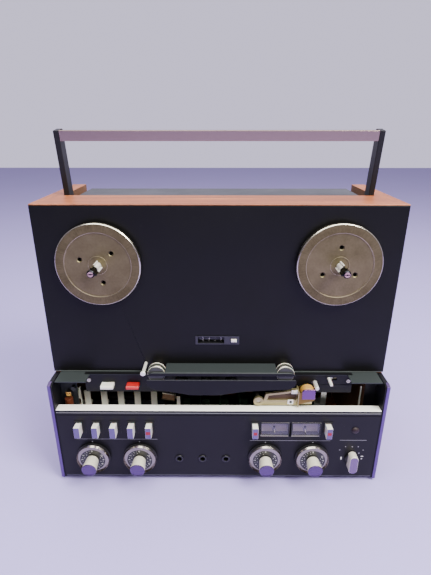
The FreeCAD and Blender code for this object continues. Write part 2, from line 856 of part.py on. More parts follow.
def flap_outline():
    """Boat-shaped outline of the flap as edges in the plane y = 0."""
    right = [V(x, 0, base_z + z) for x, z in flap_right_edge]
    under = [V(x, 0, base_z + z) for x, z in flap_low_edge]
    left = [V(x, 0, base_z + z) for x, z in flap_left_edge]
    high = base_z + slot_bottom
    top = [V(flap_left, 0, high - flap_bevel), V(flap_left + flap_bevel, 0, high),
           V(flap_right - flap_bevel, 0, high), V(flap_right, 0, high - flap_bevel)]
    edges = [Part.LineSegment(a, b) for a, b in zip(top, top[1:])]
    edges += [Part.LineSegment(top[3], right[0]), Part.Arc(right[0], right[1], right[2]),
              Part.LineSegment(right[2], under[0])]
    edges += [Part.LineSegment(a, b) for a, b in zip(under, under[1:])]
    edges += [Part.Arc(under[3], left[0], left[1]), Part.LineSegment(left[1], top[0])]
    return Part.Wire([edge.toShape() for edge in edges])


def head_cover_flap():
    """Hinged lower half of the head cover, which folds down to bare the heads."""
    face = Part.Face(flap_outline())
    face.translate(V(0, flap_front, 0))
    plate = face.extrude(V(0, flap_thickness, 0))
    pieces = [plate]
    for x in flap_lugs:
        pieces.append(box(x, x + flap_lug_width, flap_back - 0.2, flap_axis_y,
                          flap_axis_z - 2.6, flap_axis_z + 2.6))
        pieces.append(rod_x(flap_axis_y, flap_axis_z, 2.6, x, x + flap_lug_width))
    flap = join(pieces)
    bores = [rod_x(flap_axis_y, flap_axis_z, flap_hinge_radius + running, x - 1, x + flap_lug_width + 1)
             for x in flap_lugs]
    return cut_all(flap, bores)


def head_places():
    return [head_first + head_pitch * index for index in range(3)]


def tape_heads():
    """Head plate on the sub-panel, three heads with curved faces, and the hinge pins of the flap."""
    plate_y0 = deck_y - sub_face - 2.0
    plate_y1 = deck_y - sub_face
    high = base_z + head_plate_top
    low = base_z + head_plate_bottom
    pieces = [box(cover_left + 4, cover_right - 22, plate_y0, plate_y1, low, high)]
    for x in head_places():
        top = base_z + slot_bottom - part_gap
        case = box(x - head_width / 2, x + head_width / 2, plate_y0 - head_depth, plate_y0 + 0.5,
                   top - head_height, top - 2.0)
        nose = rod_y(x, top - 6.0, 6.0, plate_y0 - head_depth, plate_y0 + 0.5)
        keep = box(x - 5, x + 5, plate_y0 - head_depth - 1, plate_y0 + 1, top - 3.0, top + 1)
        pieces += [case, nose.common(keep)]
    for x in flap_lugs:
        lug_x0 = x + flap_lug_width + slide_gap
        lug_x1 = lug_x0 + 3.0
        pieces.append(box(lug_x0, lug_x1, flap_axis_y - 2.2, plate_y1, flap_axis_z - 2.2, flap_axis_z + 2.2))
        pieces.append(rod_x(flap_axis_y, flap_axis_z, flap_hinge_radius, x + 0.4, lug_x1))
    return join(pieces)


def shelf():
    """Grey ledge under the deck plate: wide at both ends, only a lip between them."""
    low = shelf_top - shelf_thickness
    whole = box(-shelf_half, shelf_half, deck_y - shelf_depth, deck_y + deck_thickness, low, shelf_top)
    notch = box(-shelf_notch_half, shelf_notch_half, deck_y - shelf_depth - 1, deck_y - shelf_lip,
                low - 1, shelf_top + 1)
    return whole.cut(notch)


def button_window(x, width, gap):
    return box(x - width / 2 - gap, x + width / 2 + gap, deck_y - sub_face - 5, deck_y - sub_face + sub_thickness + 1,
               base_z + button_low - gap, base_z + button_low + button_height + gap)


def sub_panel():
    """Black plate in the notch, with windows for two buttons and a lever and a hole for the capstan."""
    front = deck_y - sub_face
    back = front + sub_thickness
    high = shelf_top - shelf_thickness
    low = base_z + sub_bottom
    plate = box(-sub_half, sub_half, front, back, low, high)
    ledge = box(sub_ledge_left, sub_half, front - sub_ledge_depth, back, low, base_z + sub_ledge)
    foot = box(-sub_half, sub_half, back - 0.5, back + 5, high - 1.5, high)
    panel = join([plate, ledge, foot])
    cuts = [button_window(white_button_x, button_width, slide_gap),
            button_window(red_button_x, button_width, slide_gap),
            rod_y(capstan_x, base_z + capstan_z, capstan_radius + 1.2, front - 5, back + 10),
            box(lever_x - lever_radius - slide_gap, lever_x + lever_travel + lever_radius + slide_gap,
                front - 5, back + 1, base_z + lever_z - lever_radius - slide_gap,
                base_z + lever_z + lever_radius + slide_gap)]
    return cut_all(panel, cuts)


def push_button(x):
    """Rounded push button, with a shoulder behind the sub-panel that keeps it in."""
    front = deck_y - button_reach
    back = deck_y - sub_face + sub_thickness
    low = base_z + button_low
    high = low + button_height
    outline = [(front + 1.6, high), (back + 1.0, high), (back + 1.0, low), (front + 0.8, low),
               (front, low + 0.8), (front, high - 1.6)]
    cap = plate_x(outline, x - button_width / 2, x + button_width / 2)
    shoulder = box(x - button_width / 2 - 1.5, x + button_width / 2 + 1.5, back + part_gap, back + 2.4,
                   low - 1.5, high + 1.5)
    stem = box(x - 3, x + 3, back, back + 14.0, low + 0.6, high - 0.6)
    return join([cap, shoulder, stem])


def tension_lever():
    """Round lever tip in its slot, on a slider behind the sub-panel."""
    tip = deck_y - lever_reach
    back = deck_y - sub_face + sub_thickness
    z = base_z + lever_z
    pin = lathe_y(lever_x, z, [(0, tip), (lever_radius - 0.6, tip), (lever_radius, tip + 0.6),
                               (lever_radius, back + 1.0), (0, back + 1.0)])
    slider = box(lever_x - 5, lever_x + 5, back + part_gap, back + 2.6, z - 3.2, z + 2.2)
    return join([pin, slider])


def lever_bracket():
    """Grey angle screwed to the back of the sub-panel, with a foot that carries the lever's spring."""
    front = deck_y - sub_face + sub_thickness
    x0 = lever_x - lever_plate_width
    low = base_z + lever_plate_low
    high = base_z + sub_ledge
    plate = box(x0, lever_x, front, front + bracket_sheet, low, high)
    foot = box(x0 - lever_plate_width, lever_x, front, front + lever_plate_foot, low, low + bracket_sheet)
    screw = rod_y(lever_x - lever_plate_width / 2, high - 4.0, 2.0, front, front + bracket_sheet + 1.6)
    return join([plate, foot, screw])


def raised(points):
    """Points (x, z) measured from the case floor, moved to the frame of the whole machine."""
    return [(x, base_z + z) for x, z in points]


def arm_block(limits, y0, y1):
    """A block of the pinch arm from its limits (x0, x1, z0, z1), measured from the case floor."""
    return box(limits[0], limits[1], y0, y1, base_z + limits[2], base_z + limits[3])


def pinch_arm():
    """Arm with its pivot ring, a bar below a framed web, and the fork that holds the roller behind a cap."""
    y1 = deck_y - arm_bar_back
    y0 = y1 - arm_bar_thickness
    pivot = base_z + pinch_pivot_z
    axle = base_z + pinch_roller_z
    web_x = pinch_roller_x - pinch_roller_radius - 2.4
    low = pivot - pinch_ring_radius
    bar = plate_y([(pinch_pivot_x, low), (web_x, low + 0.6), (web_x, low + arm_bar_height + 1.6),
                   (pinch_pivot_x, low + arm_bar_height + 1.0)], y0, y1)
    frame = plate_y(raised(arm_frame), y0, y1)
    back_web = plate_y(raised(arm_web), y1 - arm_web_thickness, y1)
    ring = rod_y(pinch_pivot_x, pivot, pinch_ring_radius, y0 - 0.9, y1)
    fork_front = deck_y - pinch_roller_back - pinch_roller_width - part_gap
    fork_back = deck_y - pinch_roller_back + part_gap
    web = box(web_x - fork_plate, web_x, fork_front - fork_plate, fork_back + fork_plate, low + 0.6, axle + 5.2)
    cheek = [(web_x - fork_plate, low + 4.0), (pinch_roller_x + 7.8, axle - 7.0), (pinch_roller_x + 7.8, axle + 3.0),
             (pinch_roller_x + 5.6, axle + 6.4), (pinch_roller_x - 5.6, axle + 6.4), (web_x - fork_plate, axle + 3.0)]
    cheeks = [plate_y(cheek, fork_front - fork_plate, fork_front), plate_y(cheek, fork_back, fork_back + fork_plate)]
    pin = rod_y(pinch_roller_x, axle, pinch_axle_radius, fork_front - fork_plate, fork_back + fork_plate)
    blocks = [arm_block(arm_clip, y0 - 0.8, y1), arm_block(arm_nut, y0 - 1.2, y0 + 0.5),
              arm_block(arm_foot, y0, y1), arm_block(arm_ledge, y0 - 1.0, y1)]
    for x, z, radius in (arm_clip_boss, arm_nut_screw):
        blocks.append(rod_y(x, base_z + z, radius, y0 - 1.7, y0 - 0.5))
    arm = join([bar, frame, back_web, ring, web, pin, fork_cap(fork_front - fork_plate)] + cheeks + blocks)
    return arm.cut(rod_y(pinch_pivot_x, pivot, pinch_stud_radius + running, y0 - 2, y1 + 1))


def fork_cap(back):
    """Bevelled cap on the front cheek of the fork."""
    front = back - cap_thickness
    corners = [(cap_left, cap_low), (cap_right, cap_low), (cap_right, cap_high - cap_corner),
               (cap_right - cap_corner, cap_high), (cap_left + cap_corner, cap_high), (cap_left, cap_high - cap_corner)]
    cap = plate_y(raised(corners), front, back + 0.2)
    return cap.makeChamfer(cap_bevel, edges_at(cap, lambda point: near(point.y, front)))


def pinch_roller():
    back = deck_y - pinch_roller_back
    front = back - pinch_roller_width
    bore = pinch_axle_radius + running
    return lathe_y(pinch_roller_x, base_z + pinch_roller_z, [
        (bore, front), (pinch_roller_radius - 0.7, front), (pinch_roller_radius, front + 0.7),
        (pinch_roller_radius, back - 0.7), (pinch_roller_radius - 0.7, back), (bore, back)])


def pinch_solenoid():
    """Solenoid that pulls the pinch arm up: a wound coil between two flanges, tilted on a bracket of the chassis."""
    x0 = solenoid_x - solenoid_width / 2
    x1 = solenoid_x + solenoid_width / 2
    back = deck_y + chassis_y
    front = back - solenoid_reach
    middle = base_z + solenoid_middle
    low = middle - solenoid_height / 2
    high = middle + solenoid_height / 2
    bracket = box(x0 - frame_sheet, x1 + frame_sheet, back - frame_sheet, back, low - frame_sheet,
                  base_z + chassis_bottom + solenoid_lap)
    seat = back - solenoid_seat
    link_front = front + link_inset
    link_back = link_front + link_thickness
    coil = box(x0 + coil_gap, x1 - coil_gap, front + coil_gap, seat, low + coil_lap, high - coil_lap)
    step = (solenoid_height - 2 * frame_sheet) / (coil_grooves + 1)
    grooves = []
    for turn in range(coil_grooves):
        z = low + frame_sheet + step * (turn + 1) - coil_groove / 2
        grooves.append(box(x0, x1, front, front + coil_gap + coil_groove, z, z + coil_groove))
    flanges = [box(x0, x1, front, seat, low, low + frame_sheet), box(x0, x1, front, seat, high - frame_sheet, high)]
    tab = box(x1 - frame_sheet, x1 + link_gap + link_tab_lap, link_front, link_back,
              low + link_tab_low, low + link_tab_low + link_tab_height)
    body = join([cut_all(coil, grooves), tab] + flanges)
    body.rotate(V(solenoid_x, 0, middle), V(0, 1, 0), solenoid_tilt)
    link = box(x1 + link_gap, x1 + link_gap + link_width, link_front, link_back, base_z + link_low, base_z + link_high)
    return join([bracket, body, link])


def side_cheeks():
    """Side plates of the lower front, each with a flange that covers the front edge of the wood."""
    solids = []
    low = base_z
    high = base_z + cheek_top
    nose = base_z + cheek_nose
    outline = [(panel_y + trim_thickness, low), (deck_y + deck_seat, low), (deck_y + deck_seat, high),
               (panel_y + cheek_bevel, high), (panel_y + trim_thickness, nose)]
    for side in (-1, 1):
        outer = side * half_width
        inner = side * (half_width - cheek_thickness)
        plate = plate_x(outline, min(outer, inner), max(outer, inner))
        edge = side * inner_half
        flange = box(min(outer, edge), max(outer, edge), deck_y + 0.6, deck_y + deck_seat, low, high)
        solids.append(join([plate, flange]))
    return Part.makeCompound(solids)


def aluminium_trims():
    """Bright bar along the top of the control panel, and the strip down the front edge of each cheek."""
    bar = box(-panel_half, panel_half, panel_y, panel_y + strip_depth, base_z + panel_top, base_z + strip_top)
    bar = bar.makeChamfer(0.5, edges_at(bar, lambda p: near(p.y, panel_y)))
    solids = [bar]
    high = base_z + cheek_top
    nose = base_z + cheek_nose
    outline = [(panel_y, base_z), (panel_y + trim_thickness, base_z), (panel_y + trim_thickness, nose),
               (panel_y + cheek_bevel, high), (panel_y + cheek_bevel, high + trim_thickness),
               (panel_y, nose + trim_thickness)]
    for side in (-1, 1):
        outer = side * half_width
        inner = side * (half_width - trim_width)
        solids.append(plate_x(outline, min(outer, inner), max(outer, inner)))
    return Part.makeCompound(solids)


def key_places():
    return [key_first_x + key_pitch * index for index in range(key_count)]


def key_cap(x, width):
    """Key cap with a sloped nose, reaching back through the panel."""
    low = base_z + key_low
    high = low + key_height
    front = panel_y - key_reach
    back = panel_y + panel_thickness + 2.0
    outline = [(back, low), (back, high), (front + 2 * key_nose, high), (front, high - key_nose),
               (front, low + key_nose * 0.4), (front + key_nose * 0.4, low)]
    return plate_x(outline, x - width / 2, x + width / 2)


def transport_key(x):
    """Key cap, the web behind it and the upright lever bar at its rear end."""
    low = base_z + key_low + (key_height - key_web_height) / 2
    bar_y = deck_y + key_bar_y
    web_end = deck_y + block_front + block_depth - 2.0
    web = box(x - key_web / 2, x + key_web / 2, panel_y + panel_thickness, web_end, low, low + key_web_height)
    bar = box(x - key_bar_width / 2, x + key_bar_width / 2, bar_y, bar_y + key_bar_thickness,
              low, base_z + key_bar_top)
    return join([key_cap(x, key_width), web, bar])


def record_key(x):
    low = base_z + key_low + (key_height - key_web_height) / 2
    back = panel_y + panel_thickness + 1.0
    stem = box(x - key_web / 2, x + key_web / 2, back, back + record_stem_length, low, low + key_web_height)
    return join([key_cap(x, record_width), stem])


def key_switch_block():
    """White comb that guides the key webs, on two legs, with an arched bearer at its left end."""
    left = -inner_half + part_gap
    front = deck_y + block_front
    back = front + block_depth
    low = base_z + block_low
    web_low = base_z + key_low + (key_height - key_web_height) / 2
    high = web_low + key_web_height * 0.7
    pieces = [box(left, block_right, front, back, low, high)]
    for x in (left + arch_width + 4, block_right - 10):
        pieces.append(box(x, x + 6, front, back, floor_z, low + 1))
    arch_y = deck_y + arch_front
    right = left + arch_width
    middle = left + arch_width / 2
    top = base_z + arch_top
    outline = [(left, low), (left + 1.4, top), (left + 3.4, top), (middle, base_z + arch_notch), (right - 3.8, top - 1.5),
               (right - 1.8, top - 1.5), (right, low)]
    frame = plate_y(outline, arch_y, arch_y + arch_thickness)
    gate_z = base_z + arch_gate_top
    window = rod_y(middle, gate_z, arch_gate, arch_y - 1, arch_y + arch_thickness + 1)
    gate = box(middle - arch_gate, middle + arch_gate, arch_y - 1, arch_y + arch_thickness + 1, low + 6, gate_z)
    wall = box(left, left + 2.0, arch_y, back, low, high)
    block = join(pieces + [frame.cut(window.fuse(gate)), wall])
    grooves = [box(x - key_web / 2 - slide_gap, x + key_web / 2 + slide_gap, front - 1, back + 1,
                   web_low - slide_gap, high + 1) for x in key_places()]
    return cut_all(block, grooves)


def capacitor_bracket():
    """Bracket on the left cheek with the motor capacitor, a terminal block and a small coil."""
    left = -half_width + cheek_thickness
    back = deck_y
    front = back - bracket_sheet
    plate = box(left, left + bracket_width, front, back, base_z + bracket_low, base_z + bracket_high)
    ear = box(left, left + bracket_sheet, front - 8.0, back, base_z + bracket_low, base_z + bracket_low + 20)
    tube = rod_z(capacitor_x, front - motor_capacitor_radius + 0.2, motor_capacitor_radius,
                 base_z + bracket_low, base_z + motor_capacitor_top)
    block = box(capacitor_x - 2.5, capacitor_x + 4.0, front - 6.0, front + 0.2,
                base_z + terminal_low, base_z + terminal_low + 6.0)
    screws = [rod_y(capacitor_x + shift, base_z + terminal_low + 3.0, 1.1, front - 7.0, front - 5.0) for shift in (-0.8, 2.4)]
    coil = rod_y(capacitor_x + 7.0, base_z + terminal_low + 10.0, 3.0, front - 5.0, front + 0.2)
    return join([plate, ear, tube, block, coil] + screws)


def control_panel():
    """Black front panel with its top flange and floor, cut for every control."""
    front = panel_y
    back = panel_y + panel_thickness
    low = base_z + panel_bottom
    high = base_z + panel_top
    face = box(-panel_half, panel_half, front, back, low, high)
    flange = box(-panel_half, panel_half, front, front + strip_depth, high - 1.6, high)
    tray = box(-panel_half, panel_half, front, deck_y, low, low + 1.6)
    panel = join([face, flange, tray])
    panel = panel.makeChamfer(panel_edge, edges_at(panel, lambda p: near(p.y, front) and near(p.z, high)))
    groove = high - panel_groove_drop
    cuts = [box(-panel_half - 1, panel_half + 1, front - 1, front + panel_groove_depth, groove - panel_groove_width, groove)]
    for x in key_places():
        cuts.append(key_window(x, key_width))
    for x in (left_record_x, right_record_x):
        cuts.append(key_window(x, record_width))
    for x in knob_places:
        cuts.append(rod_y(x, base_z + knob_height, dial_tube_radius + slide_gap, front - 1, back + 1))
    cuts.append(rod_y(selector_x, base_z + selector_height, stem_neck_radius + slide_gap, front - 1, back + 1))
    for x in jack_places:
        cuts.append(rod_y(x, base_z + jack_height, jack_collar - 0.8, front - 1, back + 1))
    cuts.append(rod_y(lamp_x, base_z + lamp_height, lamp_radius - 0.6, front - 1, back + 1))
    cuts.append(box(meter_left - 0.2, meter_right + 0.2, front - 1, back + 1,
                    base_z + meter_low - 0.2, base_z + meter_low + meter_height + 0.2))
    return cut_all(panel, cuts)


def key_window(x, width):
    return box(x - width / 2 - slide_gap, x + width / 2 + slide_gap, panel_y - 1, panel_y + panel_thickness + 1,
               base_z + key_low - slide_gap, base_z + key_low + key_height + slide_gap)


def meter_places():
    return [meter_left + meter_width / 2, meter_left + meter_width * 1.5 + meter_gap]


def vu_meter_cases():
    """Two moulded meter cases, each with a sunk scale and the pivot pin of its needle."""
    solids = []
    low = base_z + meter_low
    high = low + meter_height
    for x in meter_places():
        x0 = x - meter_width / 2
        x1 = x + meter_width / 2
        case = box(x0, x1, panel_y, panel_y + meter_depth, low, high)
        case = case.fuse(box(x0 + 4, x1 - 4, panel_y + panel_thickness + 1, panel_y + meter_depth - 4, low - 6, low + 1))
        case = case.cut(box(x0 + meter_frame, x1 - meter_frame, panel_y - 1, meter_scale_y,
                            low + meter_frame, high - meter_frame))
        pin = rod_y(x, needle_pivot_z, needle_pin_radius, panel_y + 0.6, meter_scale_y + 0.5)
        solids.append(join([case, pin]))
    return Part.makeCompound(solids)


def vu_needle(x):
    """Needle at its left rest, with its hub on the pin of the case."""
    y0 = meter_scale_y - 0.5 - needle_thickness
    hub = rod_y(x, needle_pivot_z, needle_hub_radius, y0 - 0.5, y0 + needle_thickness)
    blade = box(x - needle_width / 2, x + needle_width / 2, y0, y0 + needle_thickness,
                needle_pivot_z, needle_pivot_z + needle_length)
    blade.rotate(V(x, 0, needle_pivot_z), V(0, 1, 0), -needle_rest)
    needle = join([hub, blade])
    return needle.cut(rod_y(x, needle_pivot_z, needle_pin_radius + running, y0 - 2, y0 + 2))


def level_dial(x):
    """Outer dial: skirt, bright rim and bowl, with the tube that turns the front potentiometer."""
    back = panel_y - dial_lift
    step = back - dial_skirt_height
    front = back - dial_height
    bowl = front + dial_bowl
    bore = stem_neck_radius + running
    end = panel_y + panel_thickness + tube_grip
    return lathe_y(x, base_z + knob_height, [
        (bore, bowl), (dial_radius - dial_rim, bowl), (dial_radius - dial_rim, front),
        (dial_radius - dial_edge, front), (dial_radius, front + dial_edge), (dial_radius, step),
        (dial_skirt_radius, step), (dial_skirt_radius, back), (dial_tube_radius, back),
        (dial_tube_radius, end), (bore, end)])


def level_knob(x):
    """Inner knob: spun-faced stem on the thin shaft inside the dial."""
    tip = deck_y - knob_reach
    back = panel_y - dial_lift - dial_height + dial_bowl - part_gap
    end = panel_y + panel_thickness + neck_grip
    return lathe_y(x, base_z + knob_height, [
        (0, tip + 0.5), (stem_radius - 2.0, tip + 0.5), (stem_radius - 1.4, tip), (stem_radius - 0.6, tip),
        (stem_radius, tip + 0.6), (stem_foot_radius, back), (stem_neck_radius, back), (stem_neck_radius, end), (0, end)])


def selector_knob():
    """Pointer knob: a round skirt with an upright grip whose ends are round and whose face slopes back."""
    back = panel_y - dial_lift
    z = base_z + selector_height
    front = panel_y - selector_reach
    end = panel_y + panel_thickness + neck_grip
    skirt = lathe_y(selector_x, z, [(0, back - 4.0), (selector_skirt_radius - 0.8, back - 4.0),
                                    (selector_skirt_radius, back - 3.2), (selector_skirt_radius, back),
                                    (stem_neck_radius, back), (stem_neck_radius, end), (0, end)])
    half = selector_length / 2
    radius = selector_width / 2
    grip = box(selector_x - radius, selector_x + radius, front, back - 1.0, z - half + radius, z + half - radius)
    ends = [rod_y(selector_x, z + side * (half - radius), radius, front, back - 1.0) for side in (-1, 1)]
    outline = [(back, z - half - 1), (back, z + half + 1), (front + 3.2, z + half + 1), (front, z + half - 4.5),
               (front, z - half + 4.5), (front + 3.2, z - half - 1)]
    grip = join([grip] + ends).common(plate_x(outline, selector_x - radius, selector_x + radius))
    return join([skirt, grip])


def potentiometers():
    """The double potentiometers behind the four knobs and the rotary switch behind the selector."""
    front = panel_y + panel_thickness
    solids = []
    for x in knob_places:
        tube = dial_tube_radius + running
        neck = stem_neck_radius + running
        solids.append(lathe_y(x, base_z + knob_height, [
            (tube, front), (pot_radius, front), (pot_radius, front + pot_length), (0, front + pot_length),
            (0, front + neck_grip + part_gap), (neck, front + neck_grip + part_gap),
            (neck, front + tube_grip + part_gap), (tube, front + tube_grip + part_gap)]))
    neck = stem_neck_radius + running
    solids.append(lathe_y(selector_x, base_z + selector_height, [
        (neck, front), (pot_radius, front), (pot_radius, front + pot_length), (0, front + pot_length),
        (0, front + neck_grip + part_gap), (neck, front + neck_grip + part_gap)]))
    return Part.makeCompound(solids)


def front_jacks():
    """Three jack sockets, held in the panel by their collars."""
    solids = []
    back = panel_y + panel_thickness
    for x in jack_places:
        solids.append(lathe_y(x, base_z + jack_height, [
            (jack_bore, panel_y - jack_nut), (jack_collar - 0.5, panel_y - jack_nut), (jack_collar, panel_y - jack_nut + 0.5),
            (jack_collar, panel_y), (jack_collar - 0.8, panel_y), (jack_collar - 0.8, back), (jack_body, back),
            (jack_body, panel_y + jack_length), (0, panel_y + jack_length), (0, panel_y + jack_length - 1.5),
            (jack_bore, panel_y + jack_length - 1.5)]))
    return Part.makeCompound(solids)


def lamp_lens():
    """Domed red lens pressed into the panel."""
    z = base_z + lamp_height
    face = panel_y - 0.6
    rim = lamp_radius - 0.6
    ball = (lamp_radius ** 2 + lamp_dome ** 2) / (2 * lamp_dome)
    arc = [(ball * math.sin(step * math.asin(lamp_radius / ball) / 6),
            face - lamp_dome + ball * (1 - math.cos(step * math.asin(lamp_radius / ball) / 6))) for step in range(7)]
    back = panel_y + panel_thickness + 6.0
    return lathe_y(lamp_x, z, arc + [(lamp_radius, panel_y), (rim, panel_y), (rim, back), (0, back)])


def counter_housing():
    """Counter with its bezel, the fixed digit wheels and the axle of the units wheel."""
    low = base_z + counter_low
    high = base_z + counter_high
    front = deck_y - counter_bezel
    behind = deck_y + deck_thickness
    bezel = box(counter_left, counter_right, front, deck_y, low, high)
    neck = box(counter_left + counter_wall, counter_right - counter_wall, deck_y - 0.5, behind + 1,
               low + counter_wall, high - counter_wall)
    middle = (low + high) / 2
    window = box(counter_window_left, counter_window_right, front - 1, behind + 2,
                 middle - counter_window_height / 2, middle + counter_window_height / 2)
    hole = box(reset_x - reset_width / 2 - slide_gap, reset_x + reset_width / 2 + slide_gap, front - 1, behind + 2,
               middle - reset_height / 2 - slide_gap, middle + reset_height / 2 + slide_gap)
    face = bezel.fuse(neck)
    end = wheel_axis_y + wheel_radius + 3
    outer = box(counter_left, counter_right, behind, end, middle - wheel_radius - 3, middle + wheel_radius + 3)
    inner = box(counter_left + 2, counter_right - 2, behind - 1, end - 2, middle - wheel_radius - 1,
                middle + wheel_radius + 1)
    frame = outer.cut(inner).cut(box(counter_left + 2, counter_right - 2, end - 4, end + 1, middle - 5, middle + 5))
    cut_face = face.cut(window).cut(hole)
    axle = rod_x(wheel_axis_y, middle, wheel_axle_radius, counter_left + 1, counter_right - 1)
    fixed = rod_x(wheel_axis_y, middle, wheel_radius, counter_window_left + 0.5,
                  counter_window_right - wheel_width - part_gap)
    grooves = []
    for index in range(1, wheel_count - 1):
        x = counter_window_left + 0.5 + (wheel_width + part_gap) * index
        grooves.append(box(x, x + part_gap, wheel_axis_y - wheel_radius - 1, wheel_axis_y + wheel_radius + 1,
                           middle - wheel_radius - 1, middle + wheel_radius + 1))
    wheels = fixed.cut(Part.makeCompound(grooves)).fuse(axle)
    return join([cut_face, frame, wheels])


def counter_units_wheel():
    x1 = counter_window_right - 0.4
    ring = rod_x(wheel_axis_y, counter_z, wheel_radius, x1 - wheel_width + 0.4, x1)
    return ring.cut(rod_x(wheel_axis_y, counter_z, wheel_axle_radius + running, x1 - wheel_width - 1, x1 + 1))


def counter_reset():
    """Small white key that sets the counter back."""
    z = counter_z
    front = deck_y - counter_bezel - reset_reach
    end = deck_y + deck_thickness + 1.0
    key = box(reset_x - reset_width / 2, reset_x + reset_width / 2, front, end, z - reset_height / 2, z + reset_height / 2)
    return key.makeChamfer(0.5, edges_at(key, lambda p: near(p.y, front)))


def handle_arm(side):
    """Arm with a rounded lower end and the pin that turns in the side of the cabinet."""
    x0 = side * arm_centre - arm_width / 2
    x1 = x0 + arm_width
    half = arm_depth / 2
    post = box(x0, x1, pivot_y - half, pivot_y + half, pivot_z, pivot_z + arm_length)
    heel = rod_x(pivot_y, pivot_z, half, x0, x1)
    if side < 0:
        pin = rod_x(pivot_y, pivot_z, handle_pin_radius, x0 - part_gap - handle_pin_depth, x0 + 1)
    else:
        pin = rod_x(pivot_y, pivot_z, handle_pin_radius, x1 - 1, x1 + part_gap + handle_pin_depth)
    arm = join([post, heel, pin])
    tops = edges_at(arm, lambda p: near(p.z, pivot_z + arm_length) and near(p.y, pivot_y + half))
    arm = arm.makeFillet(3.0, tops)
    arm.rotate(V(0, pivot_y, pivot_z), V(1, 0, 0), handle_lean)
    return arm


def handle_bar():
    """Flat aluminium grip between the fronts of the two arms."""
    half = arm_centre - arm_width / 2
    front = pivot_y - arm_depth / 2
    high = pivot_z + arm_length
    bar = box(-half, half, front, front + bar_thickness, high - bar_height, high)
    bar = bar.makeFillet(0.8, edges_at(bar, lambda p: near(p.y, front + bar_thickness) and abs(p.x) > half - 1))
    bar.rotate(V(0, pivot_y, pivot_z), V(1, 0, 0), handle_lean)
    return bar


def power_supply():
    """Mains transformer on the floor board and two tall capacitors beside it."""
    x0 = transformer_x - transformer_width / 2
    x1 = transformer_x + transformer_width / 2
    y0 = deck_y + transformer_y - transformer_depth / 2
    y1 = y0 + transformer_depth
    foot = box(x0 - 6, x1 + 6, y0 + 14, y1 - 14, floor_z, floor_z + 2)
    core = box(x0, x1, y0 + 14, y1 - 14, floor_z + 1, floor_z + transformer_height)
    coil = box(x0 + 14, x1 - 14, y0, y1, floor_z + 15, floor_z + transformer_height - 13)
    coil = coil.makeFillet(5.0, edges_at(coil, lambda p: near(abs(p.x - transformer_x), transformer_width / 2 - 14)))
    solids = [join([foot, core, coil])]
    for index in range(2):
        y = deck_y + 78 + index * (2 * capacitor_radius + 3)
        solids.append(rod_z(capacitors_x, y, capacitor_radius, floor_z, floor_z + capacitor_height))
    return Part.makeCompound(solids)


def circuit_boards():
    """Tray with upright amplifier cards, each with a few parts on it."""
    y0 = deck_y + card_front
    y1 = y0 + card_depth
    last = card_first_x + card_pitch * (card_count - 1)
    tray = box(card_first_x - card_margin, last + 2 * card_margin, y0 - 4, y1 + 4, floor_z, floor_z + 3)
    pieces = [tray]
    for index in range(card_count):
        x = card_first_x + card_pitch * index
        pieces.append(box(x, x + card_thickness, y0, y1, floor_z + 2, floor_z + card_height))
        for step in range(3):
            y = y0 + 12 + step * 30
            pieces.append(box(x + card_thickness - 0.5, x + card_thickness + 7, y, y + 12, floor_z + 14, floor_z + 26))
            pieces.append(rod_x(y + 20, floor_z + 44, 5.0, x + card_thickness - 0.5, x + card_thickness + 11))
    return join(pieces)


def build():
    parts = {
        "wooden_cabinet": wooden_cabinet(),
        "rear_cover": rear_cover(),
        "rear_connectors": rear_connectors(),
        "rubber_feet": rubber_feet(),
        "deck_plate": deck_plate(),
        "transport_chassis": transport_chassis(),
        "drive_motors": drive_motors(),
        "capstan_shaft": capstan_shaft(),
        "guide_roller_left": guide_roller(left_roller_x),
        "guide_roller_right": guide_roller(right_roller_x),
        "guide_pin": guide_pin(),
        "head_cover": head_cover(),
        "head_cover_flap": head_cover_flap(),
        "tape_heads": tape_heads(),
        "shelf": shelf(),
        "sub_panel": Part.makeCompound([sub_panel(), lever_bracket()]),
        "white_button": push_button(white_button_x),
        "red_button": push_button(red_button_x),
        "tension_lever": tension_lever(),
        "pinch_arm": pinch_arm(),
        "pinch_roller": pinch_roller(),
        "pinch_solenoid": pinch_solenoid(),
        "side_cheeks": side_cheeks(),
        "aluminium_trims": aluminium_trims(),
        "control_panel": control_panel(),
        "key_switch_block": key_switch_block(),
        "capacitor_bracket": capacitor_bracket(),
        "record_key_left": record_key(left_record_x),
        "record_key_right": record_key(right_record_x),
        "vu_meter_cases": vu_meter_cases(),
        "selector_knob": selector_knob(),
        "potentiometers": potentiometers(),
        "front_jacks": front_jacks(),
        "lamp_lens": lamp_lens(),
        "counter_housing": counter_housing(),
        "counter_units_wheel": counter_units_wheel(),
        "counter_reset": counter_reset(),
        "handle_arms": Part.makeCompound([handle_arm(-1), handle_arm(1)]),
        "handle_bar": handle_bar(),
        "power_supply": power_supply(),
        "circuit_boards": circuit_boards(),
    }
    for side, word in ((-1, "left"), (1, "right")):
        parts["reel_table_" + word] = reel_table(side)
        parts["spindle_lock_" + word] = spindle_lock(side)
    for word, x in zip(("left", "right"), meter_places()):
        parts["vu_needle_" + word] = vu_needle(x)
    for index, x in enumerate(key_places()):
        parts["transport_key_%d" % (index + 1)] = transport_key(x)
    for index, x in enumerate(knob_places):
        parts["level_dial_%d" % (index + 1)] = level_dial(x)
        parts["level_knob_%d" % (index + 1)] = level_knob(x)
    return parts


parts = build()
os.makedirs("parts", exist_ok=True)
for name, shape in parts.items():
    shape.exportStep("parts/%s.step" % name)
print("%d parts written" % len(parts))
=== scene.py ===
import bpy
import json
import math
from mathutils import Matrix, Vector

